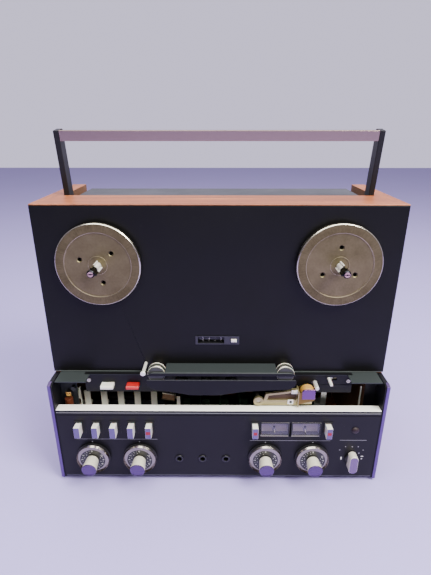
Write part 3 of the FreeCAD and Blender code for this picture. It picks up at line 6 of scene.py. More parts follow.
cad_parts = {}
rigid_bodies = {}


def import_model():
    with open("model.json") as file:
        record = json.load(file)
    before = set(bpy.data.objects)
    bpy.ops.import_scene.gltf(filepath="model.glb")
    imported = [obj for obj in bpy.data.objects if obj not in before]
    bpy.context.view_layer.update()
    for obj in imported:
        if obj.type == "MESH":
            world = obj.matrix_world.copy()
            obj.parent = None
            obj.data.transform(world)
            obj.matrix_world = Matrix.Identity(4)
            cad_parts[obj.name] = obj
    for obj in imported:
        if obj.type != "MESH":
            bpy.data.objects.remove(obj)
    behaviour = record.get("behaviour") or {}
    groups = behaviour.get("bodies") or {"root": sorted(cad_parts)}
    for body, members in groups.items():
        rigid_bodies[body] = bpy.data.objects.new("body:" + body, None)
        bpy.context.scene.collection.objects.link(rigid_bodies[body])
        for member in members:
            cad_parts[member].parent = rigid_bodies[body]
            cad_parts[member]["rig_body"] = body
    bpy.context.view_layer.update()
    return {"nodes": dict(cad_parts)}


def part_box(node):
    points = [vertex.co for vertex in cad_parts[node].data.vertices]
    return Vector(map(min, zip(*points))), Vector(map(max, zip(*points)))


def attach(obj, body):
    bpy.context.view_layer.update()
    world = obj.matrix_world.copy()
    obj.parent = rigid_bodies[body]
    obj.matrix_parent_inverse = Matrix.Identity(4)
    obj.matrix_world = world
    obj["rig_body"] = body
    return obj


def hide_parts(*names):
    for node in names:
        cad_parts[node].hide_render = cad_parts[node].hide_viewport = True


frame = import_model()
nodes = frame["nodes"]
scene = bpy.context.scene

# ---------------------------------------------------------------------------------------------
# Camera, light and table.
# The recorder stands upright on a plain pale table. A wide lens looks down on it from half a metre
# in front, and the light is soft, from above and a little from the right, as under a large window.
mm = 0.001
camera_place = (-0.0007, -0.5089, 0.4417)
camera_tilt = 68.65
camera_turn = 0.36
camera_lens = 26.57
bpy.ops.object.camera_add(location=camera_place,
                          rotation=(math.radians(camera_tilt), 0, math.radians(camera_turn)))
camera = bpy.context.object
camera.data.lens = camera_lens
camera.data.sensor_width = 36
camera.data.clip_start = 0.01
scene.camera = camera

recorder_middle = Vector((0, 0, 0.2))


def soft_light(name, place, size, power, colour):
    """A square soft box at a place, turned to the middle of the recorder."""
    direction = recorder_middle - Vector(place)
    turn = direction.to_track_quat("-Z", "Y").to_euler()
    bpy.ops.object.light_add(type="AREA", location=place, rotation=turn)
    box = bpy.context.object
    box.name = name
    box.data.size = size
    box.data.energy = power
    box.data.color = colour


soft_light("window_light", (1.0, -0.85, 1.6), 0.8, 70, (1.0, 0.985, 0.94))
soft_light("ceiling_light", (-0.1, -0.25, 2.0), 1.6, 62, (1.0, 0.99, 0.96))
soft_light("front_fill", (-0.4, -1.5, 1.5), 1.0, 12, (1.0, 0.97, 0.95))


def linear(code):
    """The linear colour of an sRGB hex value."""
    parts = [int(code[start:start + 2], 16) / 255 for start in (1, 3, 5)]
    shares = [part / 12.92 if part <= 0.04045 else ((part + 0.055) / 1.055) ** 2.4 for part in parts]
    return (*shares, 1.0)


def add_node(tree, kind, values=None, links=None, **settings):
    """Add a shader node, with values for its sockets, links into them and its settings."""
    node = tree.nodes.new("ShaderNode" + kind)
    for name, value in settings.items():
        setattr(node, name, value)
    for socket, value in (values or {}).items():
        node.inputs[socket].default_value = value
    for socket, source in (links or {}).items():
        tree.links.new(source, node.inputs[socket])
    return node


# Sockets of the Mix node when it mixes colours.
MIX_A, MIX_B, MIXED = 6, 7, 2

# The room is pale lilac behind the recorder and over it, and dimmer and more violet before it.
scene.world = bpy.data.worlds.new("pale_room")
scene.world.use_nodes = True
tree = scene.world.node_tree
room = tree.nodes["Background"]
outlook = add_node(tree, "SeparateXYZ", {}, {"Vector": add_node(tree, "TexCoord").outputs["Generated"]})
depth = add_node(tree, "MapRange", {"From Min": -0.6, "From Max": 0.6}, {"Value": outlook.outputs["Y"]})
walls = add_node(tree, "Mix", {MIX_A: linear("#A59FAE"), MIX_B: linear("#DCD5F2")},
                 {"Factor": depth.outputs["Result"]}, data_type="RGBA")
glow = add_node(tree, "MapRange", {"To Min": 0.13, "To Max": 1.2}, {"Value": depth.outputs["Result"]})
tree.links.new(walls.outputs[MIXED], room.inputs["Color"])
tree.links.new(glow.outputs["Result"], room.inputs["Strength"])


def start_finish(name, colour, roughness, metallic=0.0):
    """Start a material: a shader with its plain values, and the place on the piece in metres."""
    made = bpy.data.materials.new(name)
    made.use_nodes = True
    tree = made.node_tree
    shader = tree.nodes["Principled BSDF"]
    shader.inputs["Base Color"].default_value = linear(colour)
    shader.inputs["Roughness"].default_value = roughness
    shader.inputs["Metallic"].default_value = metallic
    place = add_node(tree, "TexCoord").outputs["Object"]
    return made, tree, shader, place


def lay_on(tree, shader, tone=None, dull=None, skin=None):
    """Lead the colour, the roughness and the relief of a finish into its shader."""
    for node, result, socket in ((tone, MIXED, "Base Color"), (dull, "Result", "Roughness"),
                                 (skin, "Normal", "Normal")):
        if node:
            tree.links.new(node.outputs[result], shader.inputs[socket])


def give_finish(piece, finish):
    """Make a finish the only one of a piece."""
    piece.data.materials.clear()
    piece.data.materials.append(finish)


# Painted table top, matt: a pale violet ground with hardly any gloss, so that the machine stands out.
table_paint, tree, shader, place = start_finish("matt_pale_table_paint", "#AFA2E0", 0.75)
cloud = add_node(tree, "TexNoise", {"Scale": 3.0, "Detail": 4.0}, {"Vector": place})
tone = add_node(tree, "Mix", {MIX_A: linear("#B1A4E2"), MIX_B: linear("#AC9FDD")},
                {"Factor": cloud.outputs["Fac"]}, data_type="RGBA")
lay_on(tree, shader, tone)

bpy.ops.mesh.primitive_plane_add(size=8, location=(0, 0, 0))
table_top = bpy.context.object
table_top.name = "table_top"
give_finish(table_top, table_paint)


# ---------------------------------------------------------------------------------------------
# Wooden case.
# A sleeve of 19 mm chipboard, veneered in teak and oiled. The veneer runs along the front rail and
# down the sides, and thin strips of it close the upper edges of the sides. All edges are broken by hand.
# Axes along which a grain or a brush line runs.
X, Y, Z = range(3)


def stretched(across, lengthwise, along):
    """The scale of a pattern that is drawn out along one axis."""
    scale = [across] * 3
    scale[along] = lengthwise
    return scale


def teak(name, along):
    """Oiled teak veneer: bands of growth 8 mm wide and fine dark pores, along one axis."""
    wood, tree, shader, place = start_finish(name, "#9C5A36", 0.42)
    shader.inputs["IOR"].default_value = 1.5
    bands = add_node(tree, "Mapping", {"Scale": stretched(115.0, 4.0, along)}, {"Vector": place})
    figure = add_node(tree, "TexNoise", {"Scale": 1.0, "Detail": 5.0, "Roughness": 0.62, "Distortion": 0.7},
                      {"Vector": bands.outputs["Vector"]})
    spread = add_node(tree, "MapRange", {"From Min": 0.32, "From Max": 0.68}, {"Value": figure.outputs["Fac"]})
    wide = add_node(tree, "Mapping", {"Scale": stretched(22.0, 2.0, along)}, {"Vector": place})
    shades = add_node(tree, "TexNoise", {"Scale": 1.0, "Detail": 2.0}, {"Vector": wide.outputs["Vector"]})
    light = add_node(tree, "Mix", {MIX_A: linear("#A8623A"), MIX_B: linear("#BD7446")},
                     {"Factor": shades.outputs["Fac"]}, data_type="RGBA")
    grain = add_node(tree, "Mix", {MIX_A: linear("#7F4325")},
                     {"Factor": spread.outputs["Result"], MIX_B: light.outputs[MIXED]}, data_type="RGBA")
    # Real pores are 0.2 mm wide; here 0.5 mm, the least that shows.
    pores = add_node(tree, "Mapping", {"Scale": stretched(1900.0, 110.0, along)}, {"Vector": place})
    speck = add_node(tree, "TexNoise", {"Scale": 1.0, "Detail": 1.0}, {"Vector": pores.outputs["Vector"]})
    pore = add_node(tree, "MapRange", {"From Min": 0.58, "From Max": 0.66}, {"Value": speck.outputs["Fac"]})
    depth = add_node(tree, "Math", {1: 0.55}, {0: pore.outputs["Result"]}, operation="MULTIPLY")
    colour = add_node(tree, "Mix", {MIX_B: linear("#4E2613")},
                      {"Factor": depth.outputs["Value"], MIX_A: grain.outputs[MIXED]}, data_type="RGBA")
    gloss = add_node(tree, "MapRange", {"To Min": 0.36, "To Max": 0.52}, {"Value": figure.outputs["Fac"]})
    relief = add_node(tree, "Bump", {"Strength": 0.5, "Distance": 0.05 * mm},
                      {"Height": depth.outputs["Value"]}, invert=True)
    lay_on(tree, shader, colour, gloss, relief)
    return wood


def pick(*pieces):
    """Leave only these pieces selected, the first of them active."""
    bpy.ops.object.select_all(action="DESELECT")
    for piece in pieces:
        piece.select_set(True)
    bpy.context.view_layer.objects.active = pieces[0]


# An edge that turns by more than this is sharp.
sharp_angle = math.radians(30)


def soften(piece, width, steps=2):
    """Break all sharp edges of a piece by a width in millimetres, and shade what is round smoothly."""
    pick(piece)
    edge = piece.modifiers.new("broken_edges", "BEVEL")
    edge.width = width * mm
    edge.segments = steps
    edge.limit_method = "ANGLE"
    edge.angle_limit = sharp_angle
    edge.use_clamp_overlap = False
    edge.miter_outer = "MITER_ARC"
    bpy.ops.object.modifier_apply(modifier=edge.name)
    bpy.ops.object.shade_smooth_by_angle(angle=sharp_angle)
    flats = piece.modifiers.new("flat_faces", "WEIGHTED_NORMAL")
    flats.keep_sharp = True
    bpy.ops.object.modifier_apply(modifier=flats.name)


def dress(node, finish, width, steps=2, reshape=None):
    """Copy a node's mesh, merge its loose triangles, break its edges and give it its finish."""
    skin = bpy.data.objects.new(node + "_skin", nodes[node].data.copy())
    scene.collection.objects.link(skin)
    give_finish(skin, finish)
    pick(skin)
    bpy.ops.mesh.customdata_custom_splitnormals_clear()
    bpy.ops.object.mode_set(mode="EDIT")
    bpy.ops.mesh.select_all(action="SELECT")
    bpy.ops.mesh.remove_doubles(threshold=0.002 * mm)
    bpy.ops.mesh.tris_convert_to_quads(face_threshold=math.radians(0.5), shape_threshold=math.radians(150))
    bpy.ops.object.mode_set(mode="OBJECT")
    if reshape:
        for point in skin.data.vertices:
            point.co = reshape(point.co)
    soften(skin, width, steps)
    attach(skin, nodes[node]["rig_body"])
    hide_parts(node)
    return skin


def paint(skin, finish, chosen):
    """Give another finish to the faces whose middle and normal pass a test."""
    skin.data.materials.append(finish)
    slot = len(skin.data.materials) - 1
    for face in skin.data.polygons:
        if chosen(face.center, face.normal):
            face.material_index = slot


board = 19 * mm
side_inner = 187.5 * mm
rail_back = 8.5 * mm
behind_rail = rail_back + 0.2 * mm
case_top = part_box("wooden_cabinet")[1].z
case = dress("wooden_cabinet", teak("oiled_teak_veneer_down_the_sides", Z), 0.5, 3)
paint(case, teak("oiled_teak_veneer_along_the_rail", X),
      lambda c, n: c.z > case_top - board and c.y < behind_rail)
paint(case, teak("teak_edge_strip", Y),
      lambda c, n: n.z > 0.5 and c.z > case_top - 2 * mm and c.y > behind_rail)
# Stained chipboard inside: dull, brown and speckled, seen above the cover and past the vents.
chipboard, tree, shader, place = start_finish("stained_chipboard", "#6A472E", 0.85)
chips = add_node(tree, "TexVoronoi", {"Scale": 420.0}, {"Vector": place})
tone = add_node(tree, "Mix", {MIX_A: linear("#5A3B27"), MIX_B: linear("#7A5336")},
                {"Factor": chips.outputs["Distance"]}, data_type="RGBA")
lay_on(tree, shader, tone)
paint(case, chipboard, lambda c, n: abs(c.x) < side_inner + 0.1 * mm and abs(n.x) > 0.9)


# ---------------------------------------------------------------------------------------------
# Feet.
# Four turned rubber feet, screwed to the floor of the case. Rubber is matt and a little dusty.
rubber, tree, shader, place = start_finish("black_rubber", "#1B1A19", 0.85)
dust = add_node(tree, "TexNoise", {"Scale": 260.0, "Detail": 3.0}, {"Vector": place})
tone = add_node(tree, "Mix", {MIX_A: linear("#161615"), MIX_B: linear("#2B2A28")},
                {"Factor": dust.outputs["Fac"]}, data_type="RGBA")
grip = add_node(tree, "Bump", {"Strength": 0.3, "Distance": 0.1 * mm}, {"Height": dust.outputs["Fac"]})
lay_on(tree, shader, tone, skin=grip)
dress("rubber_feet", rubber, 0.5)


# ---------------------------------------------------------------------------------------------
# Rear cover.
# One sheet of 1.2 mm steel, punched with vents, bent over the top and enamelled in dark grey. It is
# held by cheese-head screws, and its edges are slightly rounded by the paint.
def enamel(name, colour, worn, roughness, grain=0.8, relief=0.02):
    """Sprayed and baked enamel: one colour, a fine orange-peel skin, faint dulling where hands and dust go."""
    coat, tree, shader, place = start_finish(name, colour, roughness)
    shader.inputs["IOR"].default_value = 1.5
    shader.inputs["Specular IOR Level"].default_value = 0.2
    peel = add_node(tree, "TexNoise", {"Scale": 1.0 / (grain * mm), "Detail": 2.0}, {"Vector": place})
    skin = add_node(tree, "Bump", {"Strength": 0.35, "Distance": relief * mm}, {"Height": peel.outputs["Fac"]})
    touch = add_node(tree, "TexNoise", {"Scale": 14.0, "Detail": 6.0, "Roughness": 0.6}, {"Vector": place})
    dull = add_node(tree, "MapRange", {"From Min": 0.35, "From Max": 0.7, "To Min": roughness - 0.05,
                                       "To Max": roughness + 0.1}, {"Value": touch.outputs["Fac"]})
    speck = add_node(tree, "TexNoise", {"Scale": 170.0, "Detail": 3.0, "Roughness": 0.7}, {"Vector": place})
    dust = add_node(tree, "MapRange", {"From Min": 0.66, "From Max": 0.78, "To Max": 0.5},
                    {"Value": speck.outputs["Fac"]})
    tone = add_node(tree, "Mix", {MIX_A: linear(colour), MIX_B: linear(worn)},
                    {"Factor": dust.outputs["Result"]}, data_type="RGBA")
    lay_on(tree, shader, tone, dull, skin)
    return coat


dress("rear_cover", enamel("dark_grey_baked_enamel_on_steel", "#3B3D42", "#5B5C5E", 0.4, 1.2, 0.04), 0.25)

# Zinc-plated steel, bright and slightly yellow, as on machine screws.
zinc_screw, tree, shader, place = start_finish("zinc_plated_screw_steel", "#B9B5A8", 0.34, 1.0)
bloom = add_node(tree, "TexNoise", {"Scale": 900.0, "Detail": 3.0}, {"Vector": place})
dull = add_node(tree, "MapRange", {"To Min": 0.25, "To Max": 0.5}, {"Value": bloom.outputs["Fac"]})
lay_on(tree, shader, dull=dull)


def settle(piece):
    """Move a piece's place, turn and size into its mesh."""
    pick(piece)
    bpy.ops.object.transform_apply(location=True, rotation=True, scale=True)


def open_faces(piece, test):
    """Go into edit mode with only the faces selected whose middle and normal pass a test."""
    pick(piece)
    bpy.ops.object.mode_set(mode="EDIT")
    bpy.ops.mesh.select_mode(type="FACE")
    bpy.ops.mesh.select_all(action="DESELECT")
    bpy.ops.object.mode_set(mode="OBJECT")
    for face in piece.data.polygons:
        face.select = test(face.center, face.normal)
    bpy.ops.object.mode_set(mode="EDIT")


def close_edit():
    """Turn all faces outwards and leave edit mode."""
    bpy.ops.mesh.select_all(action="SELECT")
    bpy.ops.mesh.normals_make_consistent(inside=False)
    bpy.ops.object.mode_set(mode="OBJECT")


def slotted_screw(name, radius, height):
    """A cheese-head screw with a straight slot, its head up along Z from the origin."""
    bpy.ops.mesh.primitive_cylinder_add(vertices=32, radius=radius * mm, depth=height * mm,
                                        location=(0, 0, height * mm / 2))
    screw = bpy.context.object
    screw.name = name
    settle(screw)
    open_faces(screw, lambda c, n: n.z > 0.9)
    bpy.ops.mesh.bevel(offset=height * 0.4 * mm, segments=3, affect="EDGES")
    close_edit()
    bpy.ops.mesh.primitive_cube_add(size=1, location=(0, 0, height * mm),
                                    scale=(radius * 3 * mm, radius * 0.26 * mm, height * 0.9 * mm))
    blade = bpy.context.object
    settle(blade)
    cut = screw.modifiers.new("slot", "BOOLEAN")
    cut.object = blade
    cut.operation = "DIFFERENCE"
    pick(screw)
    bpy.ops.object.modifier_apply(modifier=cut.name)
    bpy.data.objects.remove(blade)
    bpy.ops.object.shade_smooth_by_angle(angle=sharp_angle)
    return screw


def set_screw(pattern, name, place, facing, turn):
    """Copy a screw to a place on a face of the cabinet's parts, with its slot turned by some degrees."""
    screw = pattern.copy()
    screw.data = pattern.data.copy()
    screw.name = name
    scene.collection.objects.link(screw)
    lay = Vector(facing).to_track_quat("Z", "Y").to_matrix().to_4x4()
    screw.data.transform(Matrix.Translation(Vector(place)) @ lay @ Matrix.Rotation(math.radians(turn), 4, "Z"))
    give_finish(screw, zinc_screw)
    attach(screw, "cabinet")


cover_screw = slotted_screw("cover_screw", 3.4, 1.0)
cover_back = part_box("rear_cover")[1].y
screw_rows = (29 * mm, 332 * mm)
screw_columns = (-174 * mm, -60 * mm, 60 * mm, 174 * mm)
for row, z in enumerate(screw_rows):
    for column, x in enumerate(screw_columns):
        name = "cover_screw_%d_%d" % (row + 1, column + 1)
        set_screw(cover_screw, name, (x, cover_back, z), (0, 1, 0), 25 + 50 * column + 35 * row)
bpy.data.objects.remove(cover_screw)


# ---------------------------------------------------------------------------------------------
# Rear connectors.
# Eight phono sockets, a round socket and a mains inlet on the floor of the well. The phono barrels
# are nickel on brass with coloured washers; the inlet is black moulded resin with plated blades.
def plated(name, colour, roughness, metallic=1.0):
    """Plated or drawn metal: plain, bright, with a slight haze that varies."""
    coat, tree, shader, place = start_finish(name, colour, roughness, metallic)
    haze = add_node(tree, "TexNoise", {"Scale": 500.0, "Detail": 4.0}, {"Vector": place})
    dull = add_node(tree, "MapRange", {"To Min": roughness - 0.06, "To Max": roughness + 0.1},
                    {"Value": haze.outputs["Fac"]})
    lay_on(tree, shader, dull=dull)
    return coat


def moulded(name, colour, roughness, deep=0.0, tint="#000000"):
    """Injection-moulded plastic: even colour, soft sheen, a faint mould texture and some light let in."""
    resin, tree, shader, place = start_finish(name, colour, roughness)
    shader.inputs["IOR"].default_value = 1.53
    shader.inputs["Subsurface Weight"].default_value = deep
    shader.inputs["Subsurface Scale"].default_value = 1.0 * mm
    spark = add_node(tree, "TexNoise", {"Scale": 1600.0, "Detail": 2.0}, {"Vector": place})
    skin = add_node(tree, "Bump", {"Strength": 0.2, "Distance": 0.02 * mm}, {"Height": spark.outputs["Fac"]})
    age = add_node(tree, "TexNoise", {"Scale": 60.0, "Detail": 3.0}, {"Vector": place})
    spread = add_node(tree, "MapRange", {"From Min": 0.4, "From Max": 0.75, "To Max": 0.35},
                      {"Value": age.outputs["Fac"]})
    tone = add_node(tree, "Mix", {MIX_A: linear(colour), MIX_B: linear(tint)},
                    {"Factor": spread.outputs["Result"]}, data_type="RGBA")
    lay_on(tree, shader, tone, skin=skin)
    return resin


nickel = plated("nickel_plated_brass", "#C9C2B4", 0.25)
# Black phenolic for the inlet, the comb and the terminal block; the same black is laid on as painted shade behind
# the dials and on the selector's skirt.
black_resin_and_shade = moulded("black_phenolic_and_painted_shade", "#161616", 0.38, 0.0, "#201F1E")
connectors = dress("rear_connectors", nickel, 0.15)
well_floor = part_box("rear_connectors")[0].y
connector_z = 69 * mm
inlet_x = 122 * mm
inlet_edge = 93 * mm
mouth_reach, mouth_rise = 9 * mm, 7 * mm
blade_foot, blade_end = well_floor + 1.6 * mm, well_floor + 7.7 * mm
paint(connectors, black_resin_and_shade, lambda c, n: c.x > inlet_edge)
paint(connectors, nickel, lambda c, n: abs(c.x - inlet_x) < mouth_reach and abs(c.z - connector_z) < mouth_rise
      and blade_foot < c.y < blade_end)
phono_edge = 60 * mm
washer_back = well_floor + 1.5 * mm
red_washer = moulded("red_nylon_washer", "#9A1F1B", 0.45, 0.05, "#7C1512")
white_washer = moulded("white_nylon_washer", "#D9D5C8", 0.45, 0.05, "#C9C3B0")
paint(connectors, red_washer, lambda c, n: c.x < phono_edge and c.y < washer_back and c.z > connector_z)
paint(connectors, white_washer, lambda c, n: c.x < phono_edge and c.y < washer_back and c.z <= connector_z)


# ---------------------------------------------------------------------------------------------
# Deck plate.
# A 3 mm aluminium plate over the whole upper front, sprayed satin black, its front edges rounded.
# It has gone a little cloudy with wear, with pale specks and fine rubs.
dress("deck_plate", enamel("satin_black_lacquer_on_aluminium", "#0B0B0A", "#20201E", 0.42, 0.7, 0.015), 0.15)


# ---------------------------------------------------------------------------------------------
# Transport chassis, motors and solenoid.
# Everything that turns is carried by one chassis with a zinc finish, with three drum motors of
# grey-painted iron behind it. The solenoid has a brown waxed coil in a plated frame.
chassis_zinc = plated("zinc_passivated_sheet_steel", "#A9A48E", 0.38)
give_finish(nodes["transport_chassis"], chassis_zinc)
give_finish(nodes["drive_motors"], enamel("grey_hammer_paint_on_iron", "#6C6F6C", "#8B8D88", 0.45, 2.5, 0.12))

# Waxed cotton tape over the coil: brown, ribbed across, fairly dull.
coil_tape, tree, shader, place = start_finish("waxed_cotton_coil_tape", "#6B4A33", 0.6)
weave = add_node(tree, "TexWave", {"Scale": 180.0, "Distortion": 1.0}, {"Vector": place}, bands_direction="Y")
tone = add_node(tree, "Mix", {MIX_A: linear("#70503A"), MIX_B: linear("#A07E62")},
                {"Factor": weave.outputs["Fac"]}, data_type="RGBA")
lay_on(tree, shader, tone)
solenoid = dress("pinch_solenoid", chassis_zinc, 0.15)
coil_x, coil_z = -64 * mm, 112.2 * mm
coil_reach, coil_rise = 8.4 * mm, 3.75 * mm
coil_lean = math.radians(12)


def above_coil(point):
    """How far a point is above the middle of the tilted coil."""
    return (point.x - coil_x) * math.sin(coil_lean) + (point.z - coil_z) * math.cos(coil_lean)


paint(solenoid, coil_tape, lambda c, n: abs(c.x - coil_x) < coil_reach and abs(above_coil(c)) < coil_rise)
link_white = moulded("white_acetal_link", "#F8F4E6", 0.4, 0.1, "#EDE5CD")
link_left, link_top = -53.8 * mm, 112.5 * mm
paint(solenoid, link_white, lambda c, n: c.x > link_left and c.z < link_top)


# ---------------------------------------------------------------------------------------------
# Reel tables and spindles.
# Each table is a turned die casting, left bare and gone brownish grey, with a sunk middle, three sunk
# screw holes and a bright polished edge. The spindle has chrome wings and a brass screw in its tip; the rest of
# its chrome is painted black, a painted reflection of the dark deck.
def turned(name, bright, dark, roughness, x, z, pitch, relief, metallic=1.0):
    """Metal turned on a lathe about a line along Y: rings of changing tone and a fine spiral cut."""
    cut, tree, shader, place = start_finish(name, bright, roughness, metallic)
    centred = add_node(tree, "Mapping", {"Location": (-x, 0, -z), "Scale": (1, 0, 1)}, {"Vector": place})
    radius = add_node(tree, "VectorMath", {}, {0: centred.outputs["Vector"]}, operation="LENGTH")
    rings = add_node(tree, "TexNoise", {"Scale": 1.0 / (pitch * 3 * mm), "Detail": 4.0, "Roughness": 0.7},
                     {"W": radius.outputs["Value"]}, noise_dimensions="1D")
    bloom = add_node(tree, "TexNoise", {"Scale": 55.0, "Detail": 5.0, "Roughness": 0.6}, {"Vector": place})
    both = add_node(tree, "Math", {}, {0: rings.outputs["Fac"], 1: bloom.outputs["Fac"]}, operation="ADD")
    spread = add_node(tree, "MapRange", {"From Min": 0.7, "From Max": 1.3}, {"Value": both.outputs["Value"]})
    tone = add_node(tree, "Mix", {MIX_A: linear(bright), MIX_B: linear(dark)},
                    {"Factor": spread.outputs["Result"]}, data_type="RGBA")
    dull = add_node(tree, "MapRange", {"To Min": roughness - 0.07, "To Max": roughness + 0.12},
                    {"Value": spread.outputs["Result"]})
    cuts = add_node(tree, "Math", {1: math.tau / (pitch * mm)}, {0: radius.outputs["Value"]},
                    operation="MULTIPLY")
    spiral = add_node(tree, "Math", {}, {0: cuts.outputs["Value"]}, operation="SINE")
    skin = add_node(tree, "Bump", {"Strength": 0.5, "Distance": relief * mm},
                    {"Height": spiral.outputs["Value"]})
    lay_on(tree, shader, tone, dull, skin)
    return cut


outer_band = 37.8 * mm


def casting(name, x, z):
    """Dull zinc casting: soft brownish blotches, a fine grain, and faint spokes of wear on the outer band."""
    metal, tree, shader, place = start_finish(name, "#6A6450", 0.5, 0.85)
    centred = add_node(tree, "Mapping", {"Location": (-x, 0, -z), "Scale": (1, 0, 1)}, {"Vector": place})
    parts = add_node(tree, "SeparateXYZ", {}, {"Vector": centred.outputs["Vector"]})
    radius = add_node(tree, "VectorMath", {}, {0: centred.outputs["Vector"]}, operation="LENGTH")
    turn = add_node(tree, "Math", {}, {0: parts.outputs["Z"], 1: parts.outputs["X"]}, operation="ARCTAN2")
    spokes = add_node(tree, "TexNoise", {"Scale": 26.0, "Detail": 3.0, "Roughness": 0.7},
                      {"W": turn.outputs["Value"]}, noise_dimensions="1D")
    band = add_node(tree, "Math", {1: outer_band}, {0: radius.outputs["Value"]}, operation="GREATER_THAN")
    wear = add_node(tree, "Math", {}, {0: spokes.outputs["Fac"], 1: band.outputs["Value"]},
                    operation="MULTIPLY")
    blots = add_node(tree, "TexNoise", {"Scale": 48.0, "Detail": 6.0, "Roughness": 0.62}, {"Vector": place})
    grain = add_node(tree, "TexNoise", {"Scale": 420.0, "Detail": 2.0}, {"Vector": place})
    soft = add_node(tree, "Math", {1: 0.35}, {0: grain.outputs["Fac"], 2: blots.outputs["Fac"]},
                    operation="MULTIPLY_ADD")
    both = add_node(tree, "Math", {1: 0.4}, {0: wear.outputs["Value"], 2: soft.outputs["Value"]},
                    operation="MULTIPLY_ADD")
    spread = add_node(tree, "MapRange", {"From Min": 0.5, "From Max": 1.05}, {"Value": both.outputs["Value"]})
    tone = add_node(tree, "Mix", {MIX_A: linear("#776E4E"), MIX_B: linear("#584F36")},
                    {"Factor": spread.outputs["Result"]}, data_type="RGBA")
    dull = add_node(tree, "MapRange", {"To Min": 0.44, "To Max": 0.6}, {"Value": spread.outputs["Result"]})
    skin = add_node(tree, "Bump", {"Strength": 0.3, "Distance": 0.02 * mm}, {"Height": grain.outputs["Fac"]})
    lay_on(tree, shader, tone, dull, skin)
    return metal


chrome = plated("polished_chrome_plate", "#D3D2CE", 0.14)
foot_chrome = plated("satin_chrome_plate", "#F4F1E8", 0.28, 0.45)
step_highlight_metal = plated("turned_step_with_painted_highlight", "#B9AE92", 0.4)
hole_shade_brown = moulded("painted_shade_in_the_screw_holes", "#241C15", 0.7)
# Black steel for the spindle and small screws; in the screw bores it is painted shade, and on the spindle a
# painted reflection of the dark deck in its chrome.
black_steel_and_shade = plated("black_steel_with_painted_shade_and_reflection", "#26262A", 0.32)
tip_brass = plated("pale_brass_screw", "#C9A59A", 0.28)
table_radius = 48 * mm
rim_back = -56 * mm
band_front = -60.75 * mm
sunk_radius, leaned_radius = 37.6 * mm, 37.4 * mm
sunk_floor = -59.5 * mm
hole_circle = 21 * mm
hole_radius = 2.3 * mm
hole_floor = -50 * mm
holes_inner, holes_outer = 15 * mm, 33 * mm
foot_radius = 6.2 * mm
foot_step_inner, foot_step_outer = 10.3 * mm, 11.0 * mm
tip_screw_radius = 3.0 * mm
reel_z = 292 * mm


def round_bar(place, radius, depth, sides):
    """A round bar along Y, radius and depth in millimetres, its place in its mesh."""
    bpy.ops.mesh.primitive_cylinder_add(vertices=sides, radius=radius * mm, depth=depth * mm,
                                        rotation=(math.radians(90), 0, 0), location=place)
    bar = bpy.context.object
    settle(bar)
    return bar


def fit(piece, name, edge, finish, body):
    """Name a new piece, break its edges, give it its finish and fix it to a body."""
    piece.name = name
    soften(piece, edge)
    give_finish(piece, finish)
    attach(piece, body)


for side, word in ((-1, "left"), (1, "right")):
    reel_x = side * 135 * mm
    body_metal = casting("bare_turned_casting_" + word, reel_x, reel_z)
    # Real tool marks are 0.2 mm apart; here 0.8 mm, so that they show.
    rim_metal = turned("polished_rim_" + word, "#E4DECB", "#C5BEA8", 0.22, reel_x, reel_z, 0.8, 0.006)

    def out(point, x=reel_x):
        """How far a point is from the spindle's axis."""
        return math.hypot(point.x - x, point.z - reel_z)

    def slant_step(point, x=reel_x):
        """Lean the wall of the sunk middle, so that its turned edge, brightened as a painted highlight, shows."""
        if abs(point.y - sunk_floor) < 0.1 * mm and abs(out(point) - sunk_radius) < 0.3 * mm:
            scale = leaned_radius / sunk_radius
            return Vector((x + (point.x - x) * scale, point.y, reel_z + (point.z - reel_z) * scale))
        return point

    table = dress("reel_table_" + word, body_metal, 0.2, reshape=slant_step)
    paint(table, rim_metal, lambda c, n: out(c) > table_radius - 1.05 * mm and c.y < rim_back)
    # The steps round the sunk middle and round the spindle's foot: turned metal, made brighter as a painted
    # highlight.
    paint(table, step_highlight_metal, lambda c, n: leaned_radius - 0.2 * mm < out(c) < sunk_radius + 0.15 * mm
          and band_front < c.y < sunk_floor + 0.2 * mm)
    paint(table, step_highlight_metal, lambda c, n: foot_step_inner < out(c) < foot_step_outer
          and c.y < sunk_floor - 0.05 * mm)
    # The screw holes: painted shade, dark brown all through and black on the walls of the bore.
    paint(table, hole_shade_brown, lambda c, n: holes_inner < out(c) < holes_outer and n.y > -0.7)
    paint(table, foot_chrome, lambda c, n: out(c) < foot_radius and c.y < sunk_floor - 0.3 * mm)
    paint(table, black_steel_and_shade, lambda c, n: abs(out(c) - hole_circle) < hole_radius and abs(n.y) < 0.3
          and c.y < hole_floor)
    # The spindle's chrome is given the black where it mirrors the dark deck: a painted reflection.
    lock = dress("spindle_lock_" + word, black_steel_and_shade, 0.12)
    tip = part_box("spindle_lock_" + word)[0].y
    paint(lock, chrome, lambda c, n: out(c) > 5.0 * mm and c.y > tip + 5.4 * mm)
    paint(lock, tip_brass, lambda c, n: out(c) < tip_screw_radius and c.y < tip + 0.3 * mm)
    fit(round_bar((reel_x, tip + 0.1 * mm, reel_z), 0.9, 0.3, 20), "spindle_centre_" + word, 0.05, black_steel_and_shade,
        "spindle_lock_" + word)


# ---------------------------------------------------------------------------------------------
# Tape guides and capstan.
# A chromed guide pin, two guide rollers of cream acetal with two flanges each on steel studs, and the
# ground steel capstan shaft of the middle motor.
ground_steel = plated("ground_hardened_steel", "#E2E0D8", 0.3, 0.45)
dress("guide_pin", foot_chrome, 0.15)
dress("capstan_shaft", ground_steel, 0.1)
acetal = moulded("cream_acetal_roller", "#E9E4D4", 0.3, 0.1, "#D6CDB4")
roller_cap = moulded("olive_black_roller_cap", "#33352F", 0.5)
for word in ("left", "right"):
    roller = dress("guide_roller_" + word, acetal, 0.2)
    paint(roller, roller_cap, lambda c, n: n.y < -0.8)
